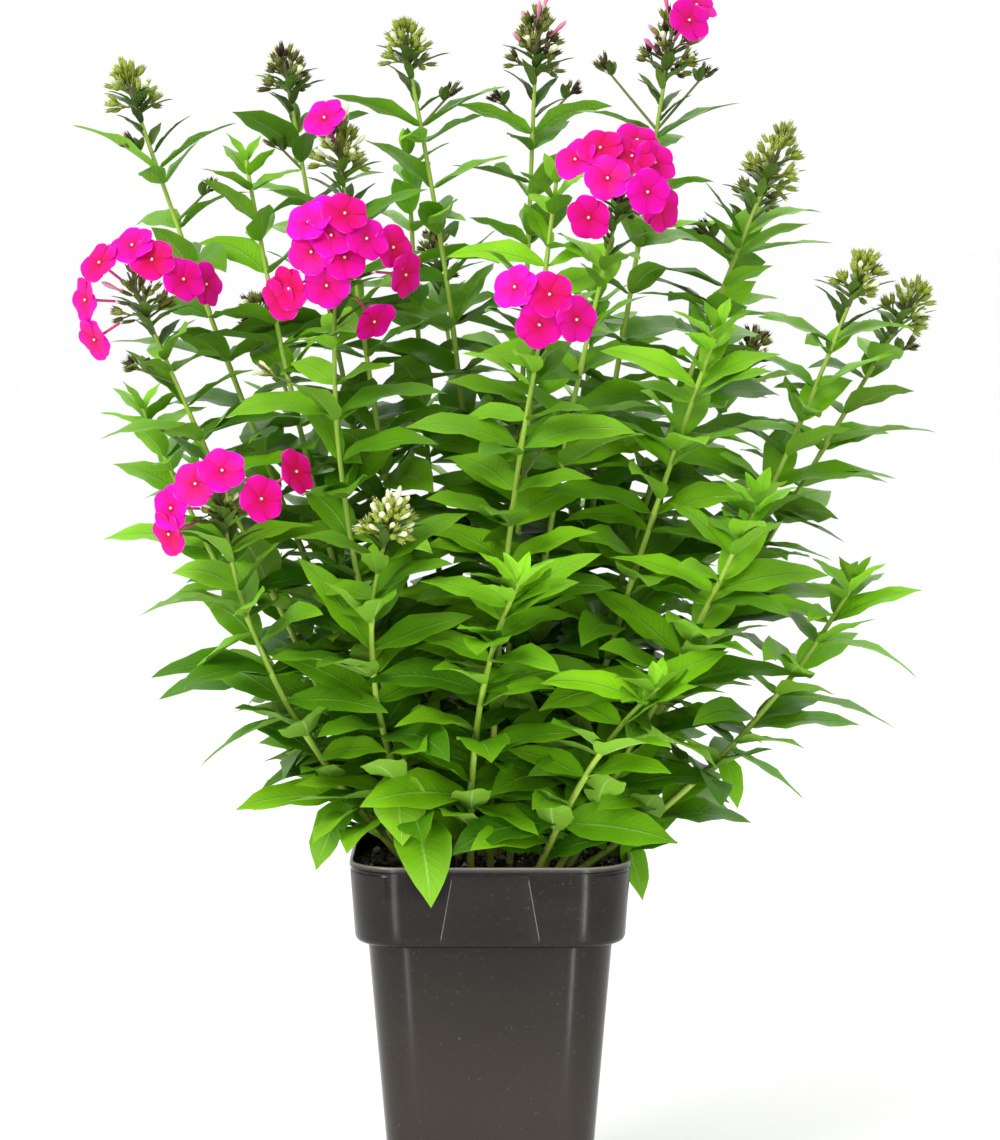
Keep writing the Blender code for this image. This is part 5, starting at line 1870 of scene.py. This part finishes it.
def area_light(name, power, size, place, aim):
    """A soft light of that width and height that looks at a point."""
    data = bpy.data.lights.new(name, "AREA")
    data.shape = "RECTANGLE"
    data.energy = power
    data.size, data.size_y = size
    light = linked(bpy.data.objects.new(name, data))
    light.location = place
    light.rotation_euler = (Vector(aim) - Vector(place)).to_track_quat("-Z", "Y").to_euler()
    return light


class PHLOX_OT_stage(bpy.types.Operator):
    """Make the pale floor, the soft studio light and the camera"""

    bl_idname = "phlox.stage"
    bl_label = "Stage"

    def execute(self, context):
        scene = context.scene
        settings = scene.phlox.stage
        finish = Finish("floor_finish", 0.9, specular_ior_level=0.1)
        grain = finish.noise(6.0, 3.0)
        shaded = tuple(0.985 * c for c in settings.floor)
        material = finish.done(finish.mix(grain, shaded, tuple(settings.floor)))
        data = bpy.data.meshes.new("floor")
        corners = [(x * FLOOR_REACH, y * FLOOR_REACH, 0) for x, y in ((-1, -1), (1, -1), (1, 1), (-1, 1))]
        data.from_pydata(corners, [], [(0, 1, 2, 3)])
        data.materials.append(material)
        linked(bpy.data.objects.new("floor", data))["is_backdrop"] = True
        world = bpy.data.worlds.new("studio")
        world.use_nodes = True
        sky = world.node_tree.nodes["Background"]
        sky.inputs["Color"].default_value = (1.0, 1.0, 1.0, 1)
        sky.inputs["Strength"].default_value = settings.sky
        scene.world = world
        area_light("key", settings.key, (1.3, 1.3), (-1.5, -1.9, 2.1), (0, 0, 0.45))
        area_light("fill", settings.fill, (1.8, 1.8), (0.4, 2.2, 2.0), (0, 0, 0.45))
        for x, width, power in ((-0.160, 0.055, 0.40), (0.150, 0.022, 0.55)):
            strip = area_light("low_strip", power, (width, 0.42), (x, -0.38, 0.16), (0.5 * x, -0.06, 0.14))
            strip.visible_camera = False
        view = bpy.data.cameras.new("camera")
        view.sensor_fit = "AUTO"
        view.sensor_width = 36
        view.lens = view.sensor_width * VIEW_DISTANCE / VIEW_HEIGHT
        camera = linked(bpy.data.objects.new("camera", view))
        back, up = VIEW_DISTANCE * math.cos(VIEW_TILT), VIEW_DISTANCE * math.sin(VIEW_TILT)
        camera.location = (VIEW_MIDDLE[0], -back, VIEW_MIDDLE[1] + up)
        camera.rotation_euler = (math.radians(90) - VIEW_TILT, 0, 0)
        scene.camera = camera
        scene.view_settings.view_transform = "Standard"
        return {"FINISHED"}


class PHLOX_PT_sidebar(bpy.types.Panel):
    """The potted phlox's steps and settings"""

    bl_idname = "PHLOX_PT_sidebar"
    bl_label = "Potted phlox"
    bl_space_type = "VIEW_3D"
    bl_region_type = "UI"
    bl_category = "Phlox"

    def draw(self, context):
        for operator in OPERATORS:
            self.layout.operator(operator.bl_idname)
        settings = context.scene.phlox
        for part in PhloxSettings.__annotations__:
            box, group = self.layout.box(), getattr(settings, part)
            for name in group.__annotations__:
                box.prop(group, name)


GROUPS = (PotSettings, SoilSettings, LeafSettings, BudSettings, FloretSettings, StageSettings, PhloxSettings)
OPERATORS = (PHLOX_OT_pot, PHLOX_OT_soil, PHLOX_OT_stems, PHLOX_OT_heads, PHLOX_OT_florets, PHLOX_OT_stage)


def register():
    for item in GROUPS + OPERATORS + (PHLOX_PT_sidebar,):
        bpy.utils.register_class(item)
    bpy.types.Scene.phlox = PointerProperty(type=PhloxSettings)


def unregister():
    del bpy.types.Scene.phlox
    for item in reversed(GROUPS + OPERATORS + (PHLOX_PT_sidebar,)):
        bpy.utils.unregister_class(item)


def main():
    """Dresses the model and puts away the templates."""
    register()
    bpy.ops.phlox.pot()
    bpy.ops.phlox.soil()
    bpy.ops.phlox.stems()
    bpy.ops.phlox.heads()
    bpy.ops.phlox.florets()
    bpy.ops.phlox.stage()
    for shape in Kit.get().shapes + [bpy.data.objects["crumb"]]:
        bpy.data.objects.remove(shape)


if __name__ == "__main__":
    main()
